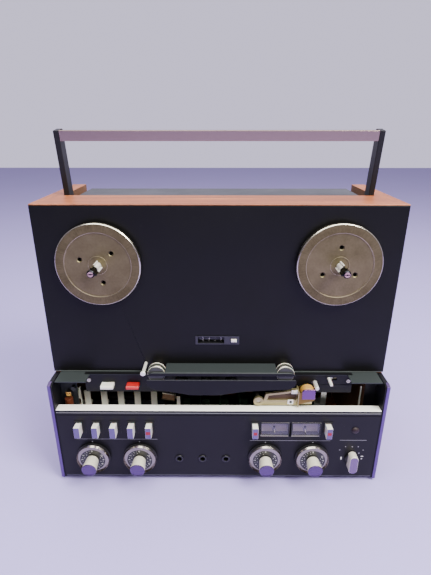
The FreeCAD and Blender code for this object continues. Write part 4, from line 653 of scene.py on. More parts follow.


# ---------------------------------------------------------------------------------------------
# Head cover, its flap and the heads.
# The cover is folded from aluminium and enamelled grey-green, black over its front lip. Its flap is a
# satin black plate, hinged so that it folds down, with a painted highlight along its upper edge. Behind it stand
# three heads.
cover_green = enamel("grey_green_enamel_on_aluminium", "#2B3030", "#484F4C", 0.42, 0.8, 0.02)
flap_black = enamel("satin_black_enamel_on_the_flap", "#0D0D0E", "#272729", 0.38, 0.7, 0.015)
lip_back, lip_front = -71.5 * mm, -71.9 * mm
cover_top = dress("head_cover", cover_green, 0.2)
paint(cover_top, flap_black, lambda c, n: c.y < lip_back and n.z < 0.5)
# The cover's upper front edge is painted a lighter grey: a painted highlight.
paint(cover_top, enamel("painted_highlight_on_the_cover_edge", "#2E3232", "#4A4E4E", 0.5),
      lambda c, n: c.y < lip_front and n.z > 0.5 and n.y < -0.3)
flap = dress("head_cover_flap", flap_black, 0.35, 3)
flap_low, flap_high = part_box("head_cover_flap")
# The flap's upper edge is painted a lighter grey: a painted highlight.
flap_edge_highlight = enamel("painted_highlight_on_the_flap_edge", "#333438", "#4A4B4F", 0.5)
paint(flap, flap_edge_highlight, lambda c, n: c.z > flap_high.z - 0.5 * mm and n.z > 0.25 and c.y < flap_low.y + 1.7 * mm)

head_can = plated("nickel_iron_head_can", "#A9A59B", 0.3)
plate_black = enamel("black_enamel_on_the_head_plate", "#232324", "#3B3B3A", 0.5)
head_plate_front = -59.15 * mm
heads = dress("tape_heads", head_can, 0.2)
paint(heads, plate_black, lambda c, n: c.y > head_plate_front or n.y < -0.8)

# Gap line of each head: a hair of dark glass between two polished pole pieces.
head_glass = moulded("dark_head_gap_glass", "#101010", 0.2)
head_places = (-46 * mm, -15 * mm, 16 * mm)
head_y = -64.3 * mm
head_top = 150.4 * mm


def block(place, size):
    """A square block, its place and size in its mesh."""
    bpy.ops.mesh.primitive_cube_add(size=1, location=place, scale=size)
    made = bpy.context.object
    settle(made)
    return made


for number, x in enumerate(head_places, start=1):
    fit(block((x, head_y, head_top - 0.1 * mm), (0.5 * mm, 8.4 * mm, 0.6 * mm)), "head_gap_%d" % number, 0.1,
        head_glass, "cabinet")


# ---------------------------------------------------------------------------------------------
# Shelf, sub-panel, buttons and lever.
# The shelf is a grey-green sheet under the deck plate. The black sub-panel hangs below it and has two
# push buttons, white and red, and the white tip of the tension lever in its slot.
dress("shelf", enamel("grey_green_enamel_on_the_shelf", "#2F3434", "#4E5451", 0.45, 0.9, 0.02), 0.25)
sub_black = enamel("satin_black_enamel_on_the_sub_panel", "#0C0C0E", "#262628", 0.4)
sub = dress("sub_panel", sub_black, 0.2)
# A light strip along the deck's lower edge is a painted highlight, and a dark sheet over the middle of the shelf
# is a painted dark reflection, where the shelf mirrors the dark parts above it.
deck_edge_highlight = enamel("painted_highlight_on_the_deck_edge", "#5B605F", "#7A7F7D", 0.45)
for name, x0, x1, y0, y1, z0, z1, finish in (
        ("sub_panel_hood", -166.4, 166.4, -57.9, -52.7, 149.2, 149.7, sub_black),
        ("deck_lower_edge", -205.6, 205.6, -51.25, -51.0, 149.7, 150.5, deck_edge_highlight),
        ("white_stop_rod", 183.9, 185.6, -43.8, -42.2, 92.0, 123.0, link_white)):
    strip = block(((x0 + x1) / 2 * mm, (y0 + y1) / 2 * mm, (z0 + z1) / 2 * mm),
                  ((x1 - x0) * mm, (y1 - y0) * mm, (z1 - z0) * mm))
    fit(strip, name, 0.08, finish, "cabinet")
# The bracket behind the sub-panel carries the lever's spring.
bracket_grey = plated("grey_passivated_bracket", "#A5A69F", 0.4)
bracket_left, bracket_right, bracket_top = 122 * mm, 138.2 * mm, 134.7 * mm
panel_foot = 123.4 * mm
paint(sub, bracket_grey, lambda c, n: bracket_left < c.x < bracket_right and c.z < bracket_top
      and c.y > (-55.1 * mm if c.z < panel_foot else -54.9 * mm))

white_abs = moulded("white_abs", "#E4E1D8", 0.3, 0.12, "#D2CCBA")
red_abs = moulded("red_abs", "#B3201F", 0.28, 0.12, "#92130F")
dress("white_button", white_abs, 0.55, 3)
dress("red_button", red_abs, 0.55, 3)
dress("tension_lever", white_abs, 0.25)

# A slotted screw at each end of the sub-panel.
panel_screw = slotted_screw("panel_screw", 2.6, 1.3)
sub_low, sub_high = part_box("sub_panel")
for word, x, slot_turn in (("left", sub_low.x + 5 * mm, 30), ("right", sub_high.x - 5 * mm, -20)):
    set_screw(panel_screw, "sub_panel_screw_" + word, (x, -57.0 * mm, 140.5 * mm), (0, -1, 0), slot_turn)
bpy.data.objects.remove(panel_screw)


# ---------------------------------------------------------------------------------------------
# Pinch roller and its arm.
# A pressed steel arm, passivated yellow, swings an amber polyurethane roller against the capstan. A
# brown plate fills its frame, darkened as painted shade, and a bevelled, polished cap covers the front of the
# roller's fork, tinted violet as a painted reflection.
arm_yellow = plated("yellow_passivated_steel_arm", "#9E946C", 0.42, 0.8)
arm = dress("pinch_arm", arm_yellow, 0.2)
web_brown_shade = enamel("brown_web_with_painted_shade", "#4F3E2E", "#6B563F", 0.5)
fork_bronze = plated("bronze_passivated_fork", "#7D6838", 0.4)
fork_cap_reflection = plated("polished_cap_with_painted_reflection", "#74507E", 0.14)
web_left, web_right = 60 * mm, 97.5 * mm
brace_left, brace_right = 85.6 * mm, 97.8 * mm
pin_x, pin_z = 89.8 * mm, 117.8 * mm
fork_left, fork_foot = 99.0 * mm, 121.5 * mm
web_front, brace_front, pin_front = -66.3 * mm, -69.2 * mm, -69.9 * mm
cap_left, cap_back = 102 * mm, -73.05 * mm
# The web set back in the frame: brown, darkened as painted shade.
paint(arm, web_brown_shade, lambda c, n: web_left < c.x < web_right and c.y > web_front and n.y < -0.5)
paint(arm, fork_bronze, lambda c, n: c.x > fork_left and c.z > fork_foot)
paint(arm, white_abs, lambda c, n: brace_left < c.x < brace_right and c.y < brace_front)
paint(arm, black_steel_and_shade, lambda c, n: max(abs(c.x - pin_x), abs(c.z - pin_z)) < 1.7 * mm and c.y < pin_front)
# The fork's cap: polished metal tinted violet, a painted reflection of the violet ground.
paint(arm, fork_cap_reflection, lambda c, n: c.x > cap_left and c.y < cap_back)
dress("pinch_roller", moulded("amber_polyurethane_roller", "#B98D45", 0.35, 0.15, "#9A6E2C"), 0.3)


# ---------------------------------------------------------------------------------------------
# Side cheeks and bright trims.
# The lower front stands out between two cheeks of black-enamelled sheet. Their front edges and the
# top of the panel carry strips of satin anodised aluminium.
cheek_black = enamel("black_enamel_on_the_cheeks", "#151518", "#303034", 0.4)
dress("side_cheeks", cheek_black, 0.3)


def brushed(name, colour, along, roughness, metallic=1.0):
    """Anodised aluminium brushed along one axis: fine lines, a satin glow and slow changes of tone."""
    metal, tree, shader, place = start_finish(name, colour, roughness, metallic)
    # Real brush lines are 0.05 mm apart; here 0.5 mm, so that they show.
    drawn = add_node(tree, "Mapping", {"Scale": stretched(2000.0, 12.0, along)}, {"Vector": place})
    lines = add_node(tree, "TexNoise", {"Scale": 1.0, "Detail": 3.0}, {"Vector": drawn.outputs["Vector"]})
    dull = add_node(tree, "MapRange", {"To Min": roughness - 0.08, "To Max": roughness + 0.1},
                    {"Value": lines.outputs["Fac"]})
    skin = add_node(tree, "Bump", {"Strength": 0.25, "Distance": 0.01 * mm}, {"Height": lines.outputs["Fac"]})
    lay_on(tree, shader, dull=dull, skin=skin)
    return metal


# The anodised skin scatters light as a paint does, so these finishes are only partly metallic.
trims = dress("aluminium_trims", brushed("cream_anodised_aluminium_strip", "#FFFDF2", X, 0.4, 0.05), 0.3)
# The cheeks' aluminium edges are tinted violet: a painted reflection of the violet ground.
cheek_trim_reflection = brushed("aluminium_edge_of_the_cheeks_with_painted_reflection", "#6C5884", Z, 0.34)
strip_end, strip_front = 201.5 * mm, -77.0 * mm
paint(trims, cheek_black, lambda c, n: abs(c.x) < strip_end and c.y < strip_front and n.z < 0.3)
paint(trims, cheek_trim_reflection, lambda c, n: abs(c.x) > strip_end)


# ---------------------------------------------------------------------------------------------
# Control panel.
# Folded aluminium, enamelled a very dark grey, with a rolled upper edge and a groove below it. The
# lines and dots are silk-screened in pale grey ink, and no words stand on it.
panel_enamel = enamel("dark_grey_enamel_on_the_panel", "#151417", "#2C2B2E", 0.4, 0.7, 0.012)
panel = dress("control_panel", panel_enamel, 0.2)
panel_low, panel_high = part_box("control_panel")
panel_y = panel_low.y
# The rolled upper edge and the lower edge are painted a lighter grey: a painted highlight on the edges.
panel_edge_highlight = enamel("painted_highlight_on_the_panel_edges", "#6D6D72", "#8B8B8E", 0.35)
paint(panel, panel_edge_highlight, lambda c, n: c.y < panel_y + 1.2 * mm and n.y < -0.2 and abs(n.z) > 0.2
      and (c.z > panel_high.z - 1.0 * mm or c.z < panel_low.z + 0.5 * mm))

# Screen ink: a thin matt film that covers a little unevenly.
ink, tree, shader, place = start_finish("pale_grey_screen_ink", "#D6D5CE", 0.6)
patch = add_node(tree, "TexNoise", {"Scale": 700.0, "Detail": 2.0}, {"Vector": place})
tone = add_node(tree, "Mix", {MIX_A: linear("#C9C8C0"), MIX_B: linear("#E2E1DA")},
                {"Factor": patch.outputs["Fac"]}, data_type="RGBA")
lay_on(tree, shader, tone)
fade_ink = start_finish("faint_grey_screen_ink", "#8E8D90", 0.6)[0]
# Where the panel folds under, a paler, duller line is laid on: a painted highlight along the fold.
fold_highlight = start_finish("painted_highlight_along_the_fold", "#55525E", 0.5)[0]
ink_lift = 0.04 * mm


def line_mark(x0, x1, z0, z1, y=panel_y):
    """A printed bar on a face that looks forward."""
    bpy.ops.mesh.primitive_plane_add(size=1, rotation=(math.radians(90), 0, 0),
                                     location=((x0 + x1) / 2 * mm, y - ink_lift, (z0 + z1) / 2 * mm))
    mark = bpy.context.object
    mark.scale = ((x1 - x0) * mm, (z1 - z0) * mm, 1)
    settle(mark)
    return mark


def dot_mark(x, z, radius, y=panel_y):
    """A printed round dot on a face that looks forward."""
    bpy.ops.mesh.primitive_circle_add(vertices=20, radius=radius * mm, fill_type="NGON",
                                      rotation=(math.radians(90), 0, 0),
                                      location=(x * mm, y - ink_lift, z * mm))
    mark = bpy.context.object
    settle(mark)
    return mark


def print_marks(name, marks, finish, body):
    """Join printed marks to one piece."""
    pick(*marks)
    if len(marks) > 1:
        bpy.ops.object.join()
    print_piece = bpy.context.object
    print_piece.name = name
    give_finish(print_piece, finish)
    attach(print_piece, body)
    return print_piece


knob_places = (-160, -100, 60, 120)
knob_z = 39.5
selector_dots = ((162.1, 56.2), (170.7, 56.2), (178.3, 56.2), (155.4, 50.9), (185.1, 50.9), (180.4, 45.9))
marks = [line_mark(157.5, 159.3, 35.6, 39.8), line_mark(183.3, 186.5, 40.1, 41.5), dot_mark(184.7, 36.9, 0.8)]
print_marks("selector_marks", marks, ink, "cabinet")
marks = [dot_mark(x, knob_z + 23.2, 0.75) for x in knob_places]
marks += [dot_mark(x, z, 0.8) for x, z in selector_dots]
marks += [line_mark(-180, -77, 66.6, 67.05), line_mark(40, 142, 65.3, 65.75),
          line_mark(153.8, 187.6, 66.2, 66.75)]
print_marks("panel_dots_and_lines", marks, fade_ink, "cabinet")
print_marks("panel_lower_edge_highlight", [line_mark(-199.5, 199.5, 8.1, 8.8)], fold_highlight, "cabinet")


# ---------------------------------------------------------------------------------------------
# Keys.
# Five transport keys and two record keys with caps of white ABS on steel webs. The last transport key
# and both record keys have a red mark. Behind the panel each web ends in an upright cream lever bar.
lever_cream = moulded("cream_acetal_lever", "#FBF7E6", 0.42, 0.1, "#EFE8D0")
mark_red = moulded("red_key_inlay", "#94101F", 0.4, 0.05, "#760A16")
web_steel = plated("zinc_plated_key_web", "#A7A292", 0.4)
# The caps' fronts are painted darker and violet: painted shade, with a painted reflection of the violet ground,
# below the white tops.
key_front_painted_shade = moulded("white_abs_front_with_painted_shade", "#5E4F84", 0.5, 0.1, "#524474")
# Black for the bars round each key: painted shade in the gap between the cap and its window.
key_gap_shade = moulded("black_painted_shade_round_the_key", "#0C0C0D", 0.7)
cap_front = panel_y - 11.0 * mm
cap_shift = -1.4 * mm
record_back = 0.5 * mm
cap_low, cap_middle, cap_high = 77.0 * mm, 84 * mm, 92.0 * mm
cap_root, cap_divide, cap_inside = -73.0 * mm, -79 * mm, 4.2 * mm
# Lower and upper height of the drawn-out cap at its root, at the edge of its front and on its front.
root_heights, edge_heights, front_heights = (77.5, 91.3), (76.6, 92.5), (77.0, 92.1)
transport_web_front, record_web_front = -73.6 * mm, -74.6 * mm
lever_front = -40.25 * mm


def square_cap(width, middle, back=0.0):
    """Draw a key cap out to a long square block that rises a little to the front, narrower than its window."""
    def reshape(point):
        if abs(point.x - middle) < cap_inside or point.y > cap_root:
            return point
        x = middle + cap_shift + back + math.copysign(width / 2 * mm, point.x - middle)
        upper = point.z > cap_middle
        if point.y > cap_divide:
            return Vector((x, point.y, root_heights[upper] * mm))
        if min(abs(point.z - cap_low), abs(point.z - cap_high)) < 0.1 * mm:
            return Vector((x, cap_front + 0.5 * mm, edge_heights[upper] * mm))
        return Vector((x, cap_front, front_heights[upper] * mm))
    return reshape


def frame_key(name, middle):
    """Black bars round a key, painted shade in the gap of its window, and a strip of the panel's enamel that
    closes the rest of the window.
    """
    # Left and right edge from the cap's middle, lower and upper edge, and how far each stands proud.
    bars = ((-5.1, -4.1, 77.0, 94.2, 1.2, key_gap_shade), (4.1, 5.3, 77.0, 94.2, 1.2, key_gap_shade),
            (-5.1, 5.3, 93.4, 94.6, 1.2, key_gap_shade), (5.3, 8.3, 75.6, 94.8, 0.3, panel_enamel))
    for number, (x0, x1, z0, z1, proud, finish) in enumerate(bars, start=1):
        bar = block((middle + cap_shift + (x0 + x1) / 2 * mm, panel_y - proud / 2 * mm, (z0 + z1) / 2 * mm),
                    ((x1 - x0) * mm, proud * mm, (z1 - z0) * mm))
        fit(bar, "%s_frame_%d" % (name, number), 0.08, finish, "cabinet")


def inlay(name, x, width, height, key_name):
    """A red inlay let into the front of a key cap, with rounded ends, sizes in millimetres."""
    made = block((x, cap_front + 0.1 * mm, 84.8 * mm), (width * mm, 0.3 * mm, height * mm))
    made.name = name
    edge = made.modifiers.new("round_ends", "BEVEL")
    edge.width = 0.12 * mm
    edge.segments = 2
    bpy.ops.object.modifier_apply(modifier=edge.name)
    give_finish(made, mark_red)
    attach(made, key_name)


def middle_x(name):
    """The middle of a node, across the recorder."""
    low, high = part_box(name)
    return (low.x + high.x) / 2


transport_keys = ["transport_key_%d" % number for number in range(1, 6)]
for name in transport_keys:
    key = dress(name, white_abs, 0.4, 3, reshape=square_cap(7.2, middle_x(name)))
    paint(key, web_steel, lambda c, n: c.y > transport_web_front)
    paint(key, lever_cream, lambda c, n: c.y > lever_front)
    paint(key, key_front_painted_shade, lambda c, n: c.y < cap_front + 0.3 * mm and n.y < -0.8)
    frame_key(name, middle_x(name))
record_keys = ("record_key_left", "record_key_right")
for name in record_keys:
    key = dress(name, white_abs, 0.4, 3, reshape=square_cap(7.0, middle_x(name), record_back))
    paint(key, web_steel, lambda c, n: c.y > record_web_front)
    paint(key, key_front_painted_shade, lambda c, n: c.y < cap_front + 0.3 * mm and n.y < -0.8)
    frame_key(name, middle_x(name) + 0.4 * mm)
inlay("red_inlay_of_key_5", middle_x(transport_keys[-1]) + cap_shift, 5.8, 4.6, transport_keys[-1])
for name in record_keys:
    inlay("red_inlay_of_" + name, middle_x(name) + cap_shift + record_back, 4.8, 4.4, name)


# ---------------------------------------------------------------------------------------------
# Key switch block and the parts on the left cheek.
# A comb of black moulded resin guides the key webs, with a cream arched bearer at its end. On the
# left cheek a bracket holds the motor's capacitor in its sleeve, a terminal block and a small coil.
bearer_end = -178.5 * mm
comb = dress("key_switch_block", black_resin_and_shade, 0.2)
paint(comb, lever_cream, lambda c, n: c.x < bearer_end)
bracket = dress("capacitor_bracket", enamel("grey_enamel_on_the_bracket", "#26292B", "#454847", 0.4), 0.15)
sleeve = moulded("brown_waxed_sleeve", "#5A2C1A", 0.4, 0.0, "#3E1E12")
bracket_front, terminal_front = -52.6 * mm, -57.3 * mm
sleeve_left, sleeve_top = -196.0 * mm, 113.8 * mm
terminal_low, terminal_high = 116.5 * mm, 123.5 * mm
paint(bracket, sleeve, lambda c, n: c.x > sleeve_left and c.y < bracket_front and c.z < sleeve_top)
paint(bracket, black_resin_and_shade, lambda c, n: c.y < bracket_front and terminal_low < c.z < terminal_high)
paint(bracket, plated("brass_terminal_screw", "#B9924E", 0.3),
      lambda c, n: c.y < terminal_front and terminal_low < c.z < terminal_high)


# ---------------------------------------------------------------------------------------------
# Level meters.
# Each meter is a cream moulded case with a sunk printed scale, a thin grey needle on its pivot and a
# clear acrylic window. The scale has plain numbers and a red end.
meter_cream = moulded("cream_polystyrene_meter_case", "#D9D2C0", 0.35, 0.08, "#C6BCA4")
meter_black_and_shade = moulded("black_meter_back_and_painted_shade", "#1B1B1C", 0.4)
meters = dress("vu_meter_cases", meter_cream, 0.15)
scale_y = panel_y + 8.6 * mm
case_back = panel_y + 9.0 * mm
case_floor, ledge_top = 71.8 * mm, 76.5 * mm
meter_places = (("left", 70.9), ("right", 109.9))
# Scale card, matt: violet at the top and going over to a pinkish buff at the bottom, darker towards the top.
scale_card, tree, shader, place = start_finish("printed_scale_card", "#9A8C98", 0.65)
height = add_node(tree, "SeparateXYZ", {}, {"Vector": place})
fall = add_node(tree, "MapRange", {"From Min": 74.0 * mm, "From Max": 90.0 * mm},
                {"Value": height.outputs["Z"]})
tone = add_node(tree, "Mix", {MIX_A: linear("#A99A92"), MIX_B: linear("#665070")},
                {"Factor": fall.outputs["Result"]}, data_type="RGBA")
lay_on(tree, shader, tone)
# The fronts round the card and the walls that face down or to the left are painted black: painted shade inside the
# mouth of the case.
paint(meters, meter_black_and_shade, lambda c, n: n.y < -0.9 or n.z < -0.5 or n.x < -0.5)
paint(meters, scale_card, lambda c, n: abs(c.y - scale_y) < 0.3 * mm and n.y < -0.9)
paint(meters, meter_black_and_shade, lambda c, n: c.y > case_back or c.z < case_floor)
# The ledge's upper faces are painted dark: painted shade at the foot of the case's mouth.
meter_shade = moulded("painted_shade_on_the_meter_ledge", "#45433F", 0.5)
paint(meters, meter_shade, lambda c, n: n.z > 0.5 and c.z < ledge_top)
for word, x in meter_places:
    print_marks("meter_sill_" + word, [line_mark(x - 17.6, x + 17.2, 72.5, 73.0)], meter_cream, "cabinet")

scale_ink = moulded("black_scale_ink", "#1C1A1A", 0.6)
scale_red = moulded("red_scale_ink", "#A3202A", 0.6)
pivot_z = 77.2
arc_radius = 10.6


def flat_number(sign, size, tilt=0):
    """A number as a flat mesh, its middle at the origin, turned up about X by some degrees."""
    bpy.ops.object.text_add(rotation=(math.radians(tilt), 0, 0))
    figures = bpy.context.object
    figures.data.body = sign
    figures.data.size = size * mm
    figures.data.align_x = "CENTER"
    figures.data.align_y = "CENTER"
    figures.data.resolution_u = 3
    bpy.ops.object.convert(target="MESH")
    settle(figures)
    return figures


def number_mark(sign, size, x, z, y, turn=0.0):
    """A printed number on a face that looks forward, turned clockwise by some degrees."""
    figures = flat_number(sign, size, 90)
    figures.data.transform(Matrix.Translation((x * mm, y - ink_lift, z * mm))
                           @ Matrix.Rotation(math.radians(turn), 4, "Y"))
    return figures


def on_circle(x, z, reach, turn):
    """The place at a reach from a middle, turned clockwise from the top by some degrees."""
    turn = math.radians(turn)
    return x + reach * math.sin(turn), z + reach * math.cos(turn)


def arc_mark(radius, start, end, width, x, z, y):
    """A printed arc, built from a row of short bars."""
    count = 18
    corners = []
    for step in range(count + 1):
        turn = math.radians(start + (end - start) * step / count)
        for reach in (radius - width / 2, radius + width / 2):
            corners.append(((x + reach * math.sin(turn)) * mm, y - ink_lift, (z + reach * math.cos(turn)) * mm))
    faces = [(2 * step, 2 * step + 2, 2 * step + 3, 2 * step + 1) for step in range(count)]
    mesh = bpy.data.meshes.new("arc")
    mesh.from_pydata(corners, [], faces)
    arc = bpy.data.objects.new("arc", mesh)
    scene.collection.objects.link(arc)
    return arc


number_reach = arc_radius + 2.5
number_size = 1.9
for word, x in meter_places:
    marks = [arc_mark(arc_radius, -42, 20, 0.35, x, pivot_z, scale_y)]
    for step, sign in enumerate(("20", "10", "7", "5", "3", "0")):
        turn = -40 + 60 * (step / 5) ** 0.9
        marks.append(arc_mark(arc_radius + 0.7, turn - 0.8, turn + 0.8, 1.3, x, pivot_z, scale_y))
        marks.append(number_mark(sign, number_size, *on_circle(x, pivot_z, number_reach, turn), scale_y))
    print_marks("meter_scale_" + word, marks, scale_ink, "cabinet")
    marks = [arc_mark(arc_radius + 0.3, 20, 42, 0.9, x, pivot_z, scale_y)]
    for turn, sign in ((31, "+"), (40, "3")):
        marks.append(number_mark(sign, number_size, *on_circle(x, pivot_z, number_reach, turn), scale_y))
    print_marks("meter_red_end_" + word, marks, scale_red, "cabinet")
    needle = "vu_needle_" + word
    dress(needle, moulded("grey_needle_" + word, "#80738A", 0.5), 0.08)
    fit(round_bar((x * mm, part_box(needle)[0].y - 0.5 * mm, 82.3 * mm), 1.5, 0.5, 24), "meter_zero_screw_" + word,
        0.1, scale_ink, "cabinet")

# Clear acrylic window, 1 mm thick, pressed into the mouth of each case.
acrylic, tree, shader, place = start_finish("clear_acrylic_window", "#FFFFFF", 0.04)
shader.inputs["IOR"].default_value = 1.49
shader.inputs["Transmission Weight"].default_value = 1.0
for word, x in meter_places:
    window = block((x * mm, panel_y + 1.1 * mm, 82.5 * mm), (33.3 * mm, 1.0 * mm, 17.7 * mm))
    fit(window, "meter_window_" + word, 0.2, acrylic, "cabinet")


# ---------------------------------------------------------------------------------------------
# Level dials and knobs.
# Each control is double: an outer dial with a bright spun face, a dark inner face with numbers, and
# an inner knob, a tall stem of satin aluminium with a spun end.
dial_edge = plated("bright_turned_dial_edge", "#B9B2A8", 0.2)
# The knob's end is tinted dark violet: a painted reflection of the violet ground in the spun metal.
knob_end_reflection = brushed("spun_aluminium_end_with_painted_reflection", "#685479", X, 0.26)


def cone_ring(x, z):
    """Draw the dial's face to a low cone: its rim goes back, and the tube behind it is drawn in."""
    # Radius and y of each ring of points in millimetres, before and after.
    steps = (((15.8, -85.8), (15.8, -84.9)), ((15.8, -86.8), (15.9, -85.6)), ((19.8, -86.8), (20.9, -84.1)),
             ((21.0, -85.6), (21.5, -83.5)), ((21.0, -81.2), (19.6, -81.2)), ((22.3, -81.2), (21.2, -80.6)),
             ((22.3, -79.2), (21.2, -79.2)))

    def reshape(point):
        reach = math.hypot(point.x - x, point.z - z) / mm
        for (radius, y), (new_radius, new_y) in steps:
            if abs(reach - radius) < 0.15 and abs(point.y / mm - y) < 0.15:
                scale = new_radius / reach
                return Vector((x + (point.x - x) * scale, new_y * mm, z + (point.z - z) * scale))
        if reach < 15.0 and abs(point.y / mm + 85.8) < 0.15:
            return Vector((point.x, -84.9 * mm, point.z))
        return point
    return reshape


dial_z = knob_z * mm
dial_face_y = -84.9 * mm
dial_back = -83.2 * mm
inner_face_radius, tube_radius, edge_radius = 15.95 * mm, 12 * mm, 20.6 * mm
number_circle, dot_circle = 13.3, 10.4
for number, x in enumerate(knob_places, start=1):
    dial_x = x * mm
    dial_name = "level_dial_%d" % number
    dial_metal = turned("spun_aluminium_dial_%d" % number, "#A7A294", "#8F8A7C", 0.24, dial_x, dial_z, 0.6, 0.006)
    dial = dress(dial_name, dial_metal, 0.2, reshape=cone_ring(dial_x, dial_z))
    dial_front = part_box(dial_name)[0].y
    dial_face = moulded("olive_black_dial_face_%d" % number, "#181915", 0.4, 0.0, "#262721")

    def out(point, x=dial_x):
        """How far a point is from the dial's axis."""
        return math.hypot(point.x - x, point.z - dial_z)

    paint(dial, dial_face, lambda c, n: out(c) < inner_face_radius and c.y > dial_front + 0.7 * mm)
    paint(dial, dial_edge, lambda c, n: out(c) > edge_radius and c.y < dial_back - 0.1 * mm)
    # The tube behind the ring and the skirt are painted black: painted shade under the dial's rim.
    paint(dial, black_resin_and_shade, lambda c, n: out(c) > tube_radius and c.y > dial_back)
    knob_name = "level_knob_%d" % number
    stem_metal = turned("satin_aluminium_stem_%d" % number, "#F0EBD8", "#D8D2BD", 0.36, dial_x, dial_z, 0.6, 0.01,
                        0.25)
    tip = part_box(knob_name)[0].y
    knob = dress(knob_name, stem_metal, 0.2)
    # The end of each stem takes the violet tint, a painted reflection.
    paint(knob, knob_end_reflection, lambda c, n: c.y < tip + 1.2 * mm)
    print_name = "dial_numbers_%d" % number
    if number == 1:
        marks = []
        for value in range(11):
            turn = -30.0 * value
            place = on_circle(x, knob_z, number_circle, turn)
            marks.append(number_mark(str(value), 3.6, *place, dial_face_y, turn))
        for value in range(10):
            turn = -30.0 * value - 15.0
            marks.append(dot_mark(*on_circle(x, knob_z, number_circle, turn), 0.35, dial_face_y))
            marks.append(dot_mark(*on_circle(x, knob_z, dot_circle, turn), 0.45, dial_face_y))
        first_print = print_marks(print_name, marks, ink, dial_name)
    else:
        numbers = bpy.data.objects.new(print_name, first_print.data.copy())
        scene.collection.objects.link(numbers)
        numbers.data.transform(Matrix.Translation(((x - knob_places[0]) * mm, 0, 0)))
        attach(numbers, dial_name)


# ---------------------------------------------------------------------------------------------
# Selector.
# A rotary switch with a pointer knob: a round skirt and a tall grip with round ends in satin
# aluminium. The potentiometers and the switch behind the panel are in plated cans.
selector_metal = brushed("satin_aluminium_pointer", "#EDE7D4", Z, 0.36, 0.35)
# The grip's front face is tinted violet: a painted reflection of the violet ground in the brushed metal.
selector_face_reflection = brushed("aluminium_pointer_face_with_painted_reflection", "#84708A", Z, 0.24)
selector_x = 171 * mm
grip_x, grip_z = 171.3 * mm, 36.5 * mm
grip_reach = 7.8 * mm
grip = round_bar((grip_x, -84.9 * mm, grip_z), 5.4, 11.4, 46)
# Drawn out up and down, the round bar becomes a bar with round ends.
for point in grip.data.vertices:
    point.co.z += math.copysign(grip_reach, point.co.z - grip_z)
soften(grip, 1.0, 3)
give_finish(grip, selector_metal)
# Front face of the grip: the violet painted reflection.
paint(grip, selector_face_reflection, lambda c, n: n.y < -0.9)
skirt = round_bar((selector_x, -80.5 * mm, knob_z * mm), 8.0, 2.6, 48)
soften(skirt, 0.4)
neck = round_bar((selector_x, -75.6 * mm, knob_z * mm), 2.9, 8.0, 32)
soften(neck, 0.2)
# The skirt and the neck are black: painted shade round the foot of the grip.
give_finish(skirt, black_resin_and_shade)
give_finish(neck, black_resin_and_shade)
pick(grip, skirt, neck)
bpy.ops.object.join()
grip.name = "selector_knob_skin"
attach(grip, "selector_knob")
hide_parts("selector_knob")
give_finish(nodes["potentiometers"], plated("tinned_potentiometer_can", "#A9A79E", 0.4))


# ---------------------------------------------------------------------------------------------
# Jacks and lamp.
# Three jack sockets with black moulded collars and nickel-plated contacts deep inside, and a domed
# lens of dark red acrylic with moulded facets for the pilot lamp.
jacks = dress("front_jacks", moulded("black_nylon_collar", "#101012", 0.35, 0.0, "#1A1A1C"), 0.25, 3)
jack_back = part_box("front_jacks")[1].y
paint(jacks, nickel, lambda c, n: c.y > jack_back - 2.2 * mm)
lens_red, tree, shader, place = start_finish("dark_red_faceted_acrylic", "#1C0306", 0.55)
shader.inputs["IOR"].default_value = 1.49
facets = add_node(tree, "TexVoronoi", {"Scale": 620.0}, {"Vector": place})
tone = add_node(tree, "Mix", {MIX_A: linear("#22050A"), MIX_B: linear("#0C0103")},
                {"Factor": facets.outputs["Distance"]}, data_type="RGBA")
shape = add_node(tree, "Bump", {"Strength": 0.6, "Distance": 0.4 * mm}, {"Height": facets.outputs["Distance"]})
lay_on(tree, shader, tone, skin=shape)
dress("lamp_lens", lens_red, 0.15)


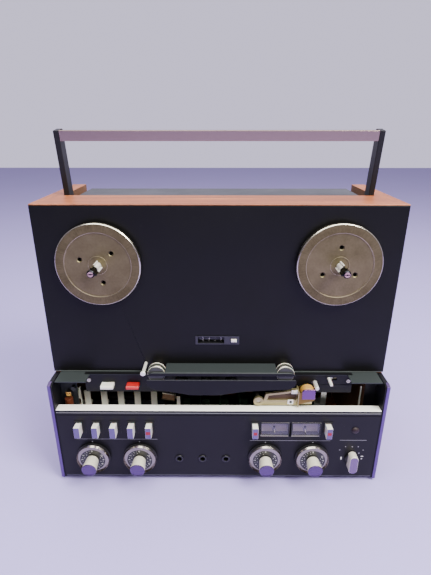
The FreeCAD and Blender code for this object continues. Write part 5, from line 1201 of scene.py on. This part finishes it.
# ---------------------------------------------------------------------------------------------
# Counter.
# A four-digit counter in a black bezel. The wheels are black with white numbers moulded round them,
# and the small white key beside them sets the counter back.
dress("counter_housing", moulded("black_abs_counter_bezel", "#18181A", 0.35, 0.0, "#242426"), 0.18)
dress("counter_reset", white_abs, 0.25)
dress("counter_units_wheel", moulded("black_acetal_wheel", "#151516", 0.45, 0.0, "#1F1F20"), 0.15)
wheel_low, wheel_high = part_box("counter_units_wheel")
wheel_y = (wheel_low.y + wheel_high.y) / 2
wheel_z = (wheel_low.z + wheel_high.z) / 2
wheel_radius = (wheel_high.z - wheel_low.z) / 2
units_x = middle_x("counter_units_wheel")
wheel_pitch = 7.4 * mm
digit_white = moulded("white_digit_ink", "#DCD9D0", 0.5)


def wheel_digits(name, x, first, body):
    """Ten digits wrapped round a wheel, the first of them to the front."""
    reach = wheel_radius + ink_lift
    marks = []
    for step in range(10):
        digit = flat_number(str((first + step) % 10), 4.6)
        for point in digit.data.vertices:
            turn = point.co.y / wheel_radius - math.radians(36.0 * step)
            point.co = (x + point.co.x, wheel_y - reach * math.cos(turn), wheel_z + reach * math.sin(turn))
        marks.append(digit)
    print_marks(name, marks, digit_white, body)


wheel_digits("counter_digits_units", units_x, 5, "counter_units_wheel")
for wheel, (word, first) in enumerate((("tens", 1), ("hundreds", 4), ("thousands", 2)), start=1):
    wheel_digits("counter_digits_" + word, units_x - wheel * wheel_pitch, first, "cabinet")


# ---------------------------------------------------------------------------------------------
# Handle.
# A flat grip of satin anodised aluminium between two black-enamelled arms, which turn on pins in the
# wood and lie in channels of the cover when folded back. The grip is riveted between them.
dress("handle_arms", enamel("black_enamel_on_the_handle_arms", "#1C1C1D", "#3F3F3E", 0.4), 0.7, 3)
dress("handle_bar", brushed("satin_anodised_aluminium_grip", "#9E8A7E", X, 0.34), 0.4, 3)


# ---------------------------------------------------------------------------------------------
# Power supply and amplifier cards.
# A laminated transformer with a taped coil and two aluminium capacitors stand on the floor of the
# case, beside upright cards of green board. They are seen only through the vents.
give_finish(nodes["power_supply"], enamel("varnished_iron_lamination", "#2C2B2A", "#45423D", 0.5))
give_finish(nodes["circuit_boards"], enamel("green_solder_mask_board", "#2E4A33", "#48624A", 0.4))
